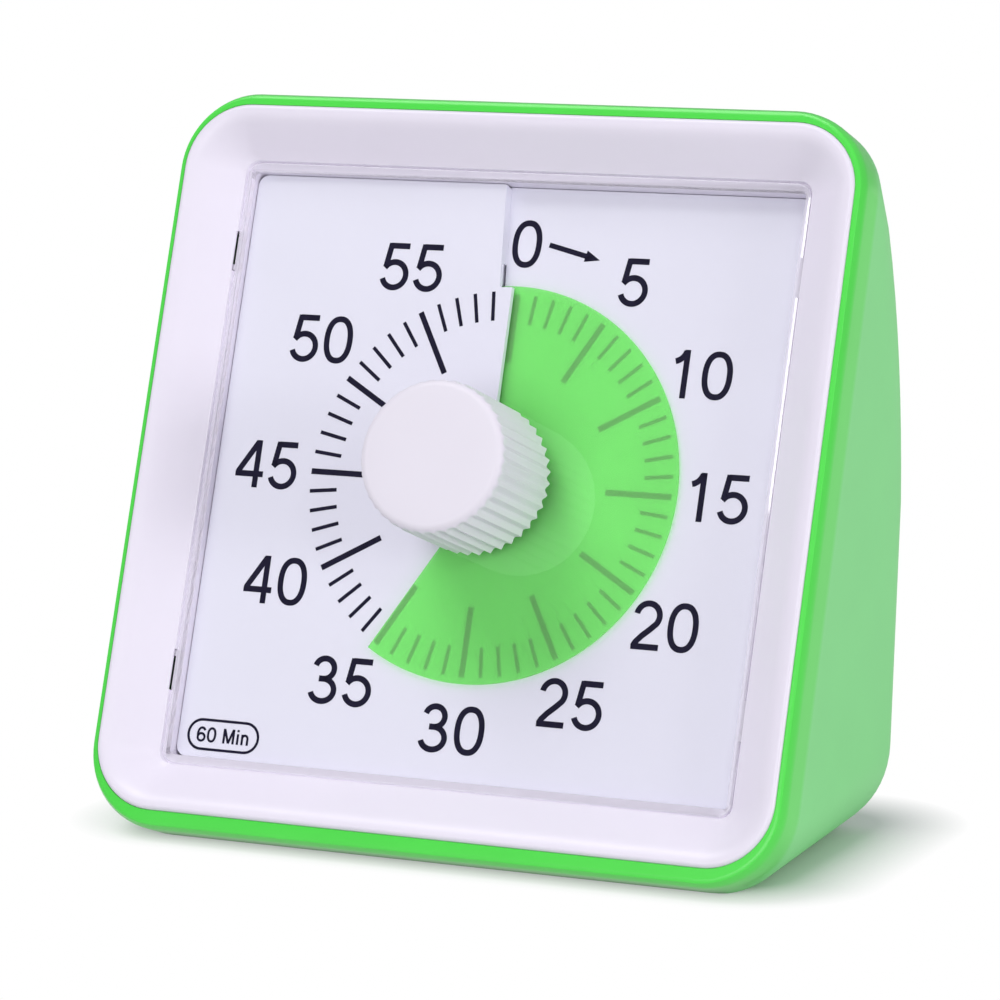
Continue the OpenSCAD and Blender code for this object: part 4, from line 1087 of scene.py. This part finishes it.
def make_printing():
    ink = pad_ink(list(colours().ink))
    height = mm(sizes().digit_height)
    bands = []
    for word, x, y in NUMERALS:
        bands += write(word, x, y, height, DIGIT_STROKE * height)
    left, right, bottom, top = LOZENGE
    r, middle = (top - bottom) / 2, (bottom + top) / 2
    ends = arc(right - r, middle, r, r, -90, 90, 16) + arc(left + r, middle, r, r, 90, 270, 16)
    bands += [*arrow(), ribbon(ends + [ends[0]], LOZENGE_LINE)]
    bands += write("60 Min", (left + right) / 2, middle, RANGE_HEIGHT, RANGE_STROKE)
    print_on_dial(bands, "dial_numerals", ink)
    marks = []
    for minute in range(60):
        a = math.radians(6 * minute)
        start, width = SHORT_MARK if minute % 5 else LONG_MARK
        marks.append(ribbon([(r * math.sin(a), r * math.cos(a)) for r in (start, MARK_END)], width))
    print_on_dial(marks, "dial_ticks", ink)


# ---- Inner pieces ----
def dress_inner_pieces():
    # Waxy, slightly see-through off-white, yellower in the filled grade of the wheels
    nylon = moulded("moulded_acetal", linear("#E4E2DA"), 0.42, 0.4, 0.003, 0.02)
    gear = moulded("moulded_acetal_gear", linear("#EADFC4"), 0.4, 0.3, 0.003, 0.02)
    # Dull, dark and pored like stoneware, or dull and tan
    magnet = moulded("sintered_ferrite", linear("#3E3E43"), 0.55, 0.15, 0.01, 0.1)
    ceramic = moulded("fired_ceramic", linear("#A98F6B"), 0.5, 0.2, 0.006, 0.08)
    # Black with a soft shine, and brown with the paper's fibres showing
    black = moulded("moulded_epoxy_black", linear("#161517"), 0.35, 0.2, 0.004, 0.1)
    laminate = moulded("phenolic_laminate", linear("#8C6E34"), 0.4, 0.6, 0.004, 0.12)
    # Smooth skins: the cell's tight glossy sleeve, and the wires' softer vinyl
    sleeve = moulded("shrink_sleeve", linear("#2B2D31"), 0.25, 0.8, 0.002, 0.04)
    red = moulded("vinyl_red", linear("#B3231B"), 0.4, 0.3, 0.003, 0.04)
    dark = moulded("vinyl_black", linear("#1B1B1D"), 0.4, 0.3, 0.003, 0.06)
    # Bright with fine lines along the way it was drawn, or greyer where it is bare
    steel = plated("nickel_plated_steel", "#C9C8C4", 0.22)
    core = plated("stamped_silicon_steel", "#8E9197", 0.38, 0.8, (1, 1, 0.2))
    copper = plated("enamelled_copper_wire", "#B8693A", 0.3, 0.12, (0.05, 1, 1), "#8A4A25")
    brass = plated("stamped_brass", "#CDB064", 0.28, 0.7, (0.3, 1, 1), "#8D7640")
    finishes = {
        nylon: "disc_hub spindle movement_front movement_rear coil_bobbin",
        gear: "drive_wheel third_wheel second_wheel first_wheel",
        magnet: "rotor",
        black: "control_chip buzzer_holder",
        ceramic: "capacitors",
        laminate: "circuit_board",
        sleeve: "battery_cell",
        red: "battery_wires",
        dark: "buzzer_wires switch_wires",
        steel: "chassis_screws movement_screws board_screws case_screws quartz_crystal "
        "battery_spring battery_plate switch_body switch_terminals",
        core: "stator",
        copper: "coil_winding coil_wires",
        brass: "clutch_spring zero_contacts buzzer_disc",
        bpy.data.materials["moulded_abs_knob"]: "switch_slider",
        bpy.data.materials["moulded_abs_green"]: "chassis",
    }
    for material, nodes in finishes.items():
        for node in nodes.split():
            materials = frame["nodes"][node].data.materials
            materials.clear()
            materials.append(material)


# ---- Stage ----
# The camera's place from the middle of the dial, its turn in degrees and its focal length in mm
CAMERA_PLACE = Vector((0.18942, -0.41393, 0.07218))
CAMERA_TURN = (80.7848, 0.0795, 24.4279)
FOCAL_LENGTH = 161.62
# Where the side lamp, the glint's lamp and the dark card stand from the middle of the dial
SIDE_PLACE = 0.8 * Vector((0.95, -0.28, 0.12))
GLINT_PLACE = Vector((0.529, -0.523, 0.37))
CARD_TOWARDS = Vector((-0.411, -0.797, 0.443))
CARD_DISTANCE = 0.75
# How far the patch that the timer stands on lies inside its outline, and the distances from
# that patch over which the floor burns out to white, in metres
FOOT_ROUND = 0.008
PATCH_BACK = 0.005
BURNT_START, BURNT_OUT = 0.005, 0.0145


def make_camera():
    """Long lens from the right front and a little above, as the timer is usually shown."""
    data = bpy.data.cameras.new("camera")
    data.sensor_width = 36.0
    data.lens = FOCAL_LENGTH
    data.clip_start = 0.05
    data.clip_end = 50
    camera = add_object("camera", data)
    camera.location = FACE.translation + CAMERA_PLACE
    camera.rotation_euler = [math.radians(a) for a in CAMERA_TURN]
    bpy.context.scene.camera = camera


def soft_lamp(name, place, size, power):
    """A white lamp of a size and power, aimed at the middle of the dial."""
    data = bpy.data.lights.new(name, "AREA")
    data.shape = "RECTANGLE"
    data.size, data.size_y = size
    data.energy = power
    lamp = add_object(name, data)
    lamp.location = place
    aim = FACE.translation - Vector(place)
    lamp.rotation_euler = aim.to_track_quat("-Z", "Y").to_euler()


def floor_material():
    """Matt paper sweep. The camera sees it exposed to white, with the timer's shadow on it, and
    burnt out to pure white further off."""
    material, tree, place = start_material("white_sweep")
    paper = add_node(tree, "BsdfDiffuse", Color=opaque("#D2D2D2"))
    near = add_node(tree, "BsdfDiffuse", Color=opaque("#F0F0F0"))
    far = add_node(tree, "Emission", Color=WHITE, Strength=1.0)
    # Distance from the patch that the timer stands on
    none = (0, 0, 0)
    half = (cad_box[1][0] - FOOT_ROUND, cad_box[1][1] - FOOT_ROUND, 0)
    away = place
    for operation, value in (
        ("SUBTRACT", (0, PATCH_BACK, 0)),
        ("ABSOLUTE", none),
        ("SUBTRACT", half),
        ("MAXIMUM", none),
        ("LENGTH", none),
    ):
        pair = [(0, away), (1, value)]
        away = add_node(tree, "VectorMath", pair, operation=operation)
    burn = {"From_Min": BURNT_START, "From_Max": BURNT_OUT}
    burnt = add_node(tree, "MapRange", [("Value", away.outputs["Value"])], **burn)
    sweep = add_node(tree, "MixShader", [(0, burnt), (1, near), (2, far)])
    seen = seen_by(tree, "Camera", "Transmission", "Glossy")
    mix = add_node(tree, "MixShader", [(0, seen), (1, paper), (2, sweep)])
    add_node(tree, "OutputMaterial", [("Surface", mix)])
    return material


def make_world():
    world = bpy.data.worlds.new("studio")
    bpy.context.scene.world = world
    world.use_nodes = True
    tree = world.node_tree
    tree.nodes.clear()
    soft = add_node(tree, "Background", Color=opaque("#F6F6FD"), Strength=0.5)
    white = add_node(tree, "Background", Color=WHITE, Strength=1.0)
    seen = seen_by(tree, "Camera", "Transmission")
    mix = add_node(tree, "MixShader", [(0, seen), (1, soft), (2, white)])
    add_node(tree, "OutputWorld", [("Surface", mix)])


def make_dark_card():
    """A black card out of the picture, where the lens would otherwise mirror the white studio."""
    place = FACE.translation + CARD_DISTANCE * CARD_TOWARDS
    turn = CARD_TOWARDS.to_track_quat("Z", "Y").to_euler()
    card = primitive("plane", "dark_card", size=0.26, location=place, rotation=turn)
    material, tree, _ = start_material("black_card")
    black = add_node(tree, "BsdfDiffuse", Color=opaque("#141416"))
    clear = add_node(tree, "BsdfTransparent", Color=WHITE)
    seen = seen_by(tree, "Camera")
    mix = add_node(tree, "MixShader", [(0, seen), (1, black), (2, clear)])
    add_node(tree, "OutputMaterial", [("Surface", mix)])
    card.data.materials.append(material)


def make_stage():
    bpy.context.scene.view_settings.view_transform = "Standard"
    make_camera()
    make_world()
    floor = primitive("plane", "floor", size=6, location=(0, 0, 0))
    floor.data.materials.append(floor_material())
    middle = FACE.translation
    soft_lamp("top", (-0.3, -0.35, 0.9), (0.5, 0.5), 3.8)
    soft_lamp("front", (0.0, -1.1, 0.25), (0.7, 0.4), 2.85)
    soft_lamp("side", middle + SIDE_PLACE, (0.3, 0.2), 1.75)
    # Narrow lamp that the chamfer down the right of the lens mirrors as a bright line
    soft_lamp("glint", middle + GLINT_PLACE, (0.1, 0.1), 0.4)
    make_dark_card()


# ---- Add-on ----
class TIMER_OT_bezel(bpy.types.Operator):
    """Model the pale bezel with its dished front"""

    bl_idname = "timer.bezel"
    bl_label = "Bezel"

    def execute(self, context):
        make_bezel()
        return {"FINISHED"}


class TIMER_OT_case(bpy.types.Operator):
    """Finish the green case and its battery door"""

    bl_idname = "timer.case"
    bl_label = "Case and door"

    def execute(self, context):
        make_shell()
        return {"FINISHED"}


class TIMER_OT_lens(bpy.types.Operator):
    """Model the clear lens with its snap tabs"""

    bl_idname = "timer.lens"
    bl_label = "Lens"

    def execute(self, context):
        make_lens()
        return {"FINISHED"}


class TIMER_OT_knob(bpy.types.Operator):
    """Model the ribbed knob"""

    bl_idname = "timer.knob"
    bl_label = "Knob"

    def execute(self, context):
        make_knob()
        return {"FINISHED"}


class TIMER_OT_dial(bpy.types.Operator):
    """Model the spiral dial plate"""

    bl_idname = "timer.dial"
    bl_label = "Dial plate"

    def execute(self, context):
        make_dial()
        return {"FINISHED"}


class TIMER_OT_disc(bpy.types.Operator):
    """Model the translucent disc that shows the time left"""

    bl_idname = "timer.disc"
    bl_label = "Time disc"

    def execute(self, context):
        make_disc()
        return {"FINISHED"}


class TIMER_OT_printing(bpy.types.Operator):
    """Print the dial's numerals, arrow, lozenge and minute marks"""

    bl_idname = "timer.printing"
    bl_label = "Printing"

    def execute(self, context):
        make_printing()
        return {"FINISHED"}


class TIMER_OT_inner(bpy.types.Operator):
    """Give the inner pieces their finishes"""

    bl_idname = "timer.inner"
    bl_label = "Inner pieces"

    def execute(self, context):
        dress_inner_pieces()
        return {"FINISHED"}


class TIMER_OT_stage(bpy.types.Operator):
    """Set up the floor, lamps and camera"""

    bl_idname = "timer.stage"
    bl_label = "Stage"

    def execute(self, context):
        make_stage()
        return {"FINISHED"}


OPERATORS = (
    TIMER_OT_bezel,
    TIMER_OT_case,
    TIMER_OT_lens,
    TIMER_OT_knob,
    TIMER_OT_dial,
    TIMER_OT_disc,
    TIMER_OT_printing,
    TIMER_OT_inner,
    TIMER_OT_stage,
)


class TIMER_PT_pieces(bpy.types.Panel):
    bl_idname = "TIMER_PT_pieces"
    bl_label = "Countdown Timer"
    bl_space_type = "VIEW_3D"
    bl_region_type = "UI"
    bl_category = "Timer"

    def draw(self, context):
        column = self.layout.column()
        for group in (context.scene.timer_sizes, context.scene.timer_colours):
            for name in group.__annotations__:
                column.prop(group, name)
        for operator in OPERATORS:
            column.operator(operator.bl_idname)


CLASSES = (TimerSizes, TimerColours, *OPERATORS, TIMER_PT_pieces)


def register():
    for item in CLASSES:
        bpy.utils.register_class(item)
    bpy.types.Scene.timer_sizes = bpy.props.PointerProperty(type=TimerSizes)
    bpy.types.Scene.timer_colours = bpy.props.PointerProperty(type=TimerColours)


def unregister():
    del bpy.types.Scene.timer_colours
    del bpy.types.Scene.timer_sizes
    for item in reversed(CLASSES):
        bpy.utils.unregister_class(item)


def main():
    register()
    bpy.ops.timer.bezel()
    bpy.ops.timer.case()
    bpy.ops.timer.lens()
    bpy.ops.timer.knob()
    bpy.ops.timer.dial()
    bpy.ops.timer.disc()
    bpy.ops.timer.printing()
    bpy.ops.timer.inner()
    bpy.ops.timer.stage()


if __name__ == "__main__":
    main()
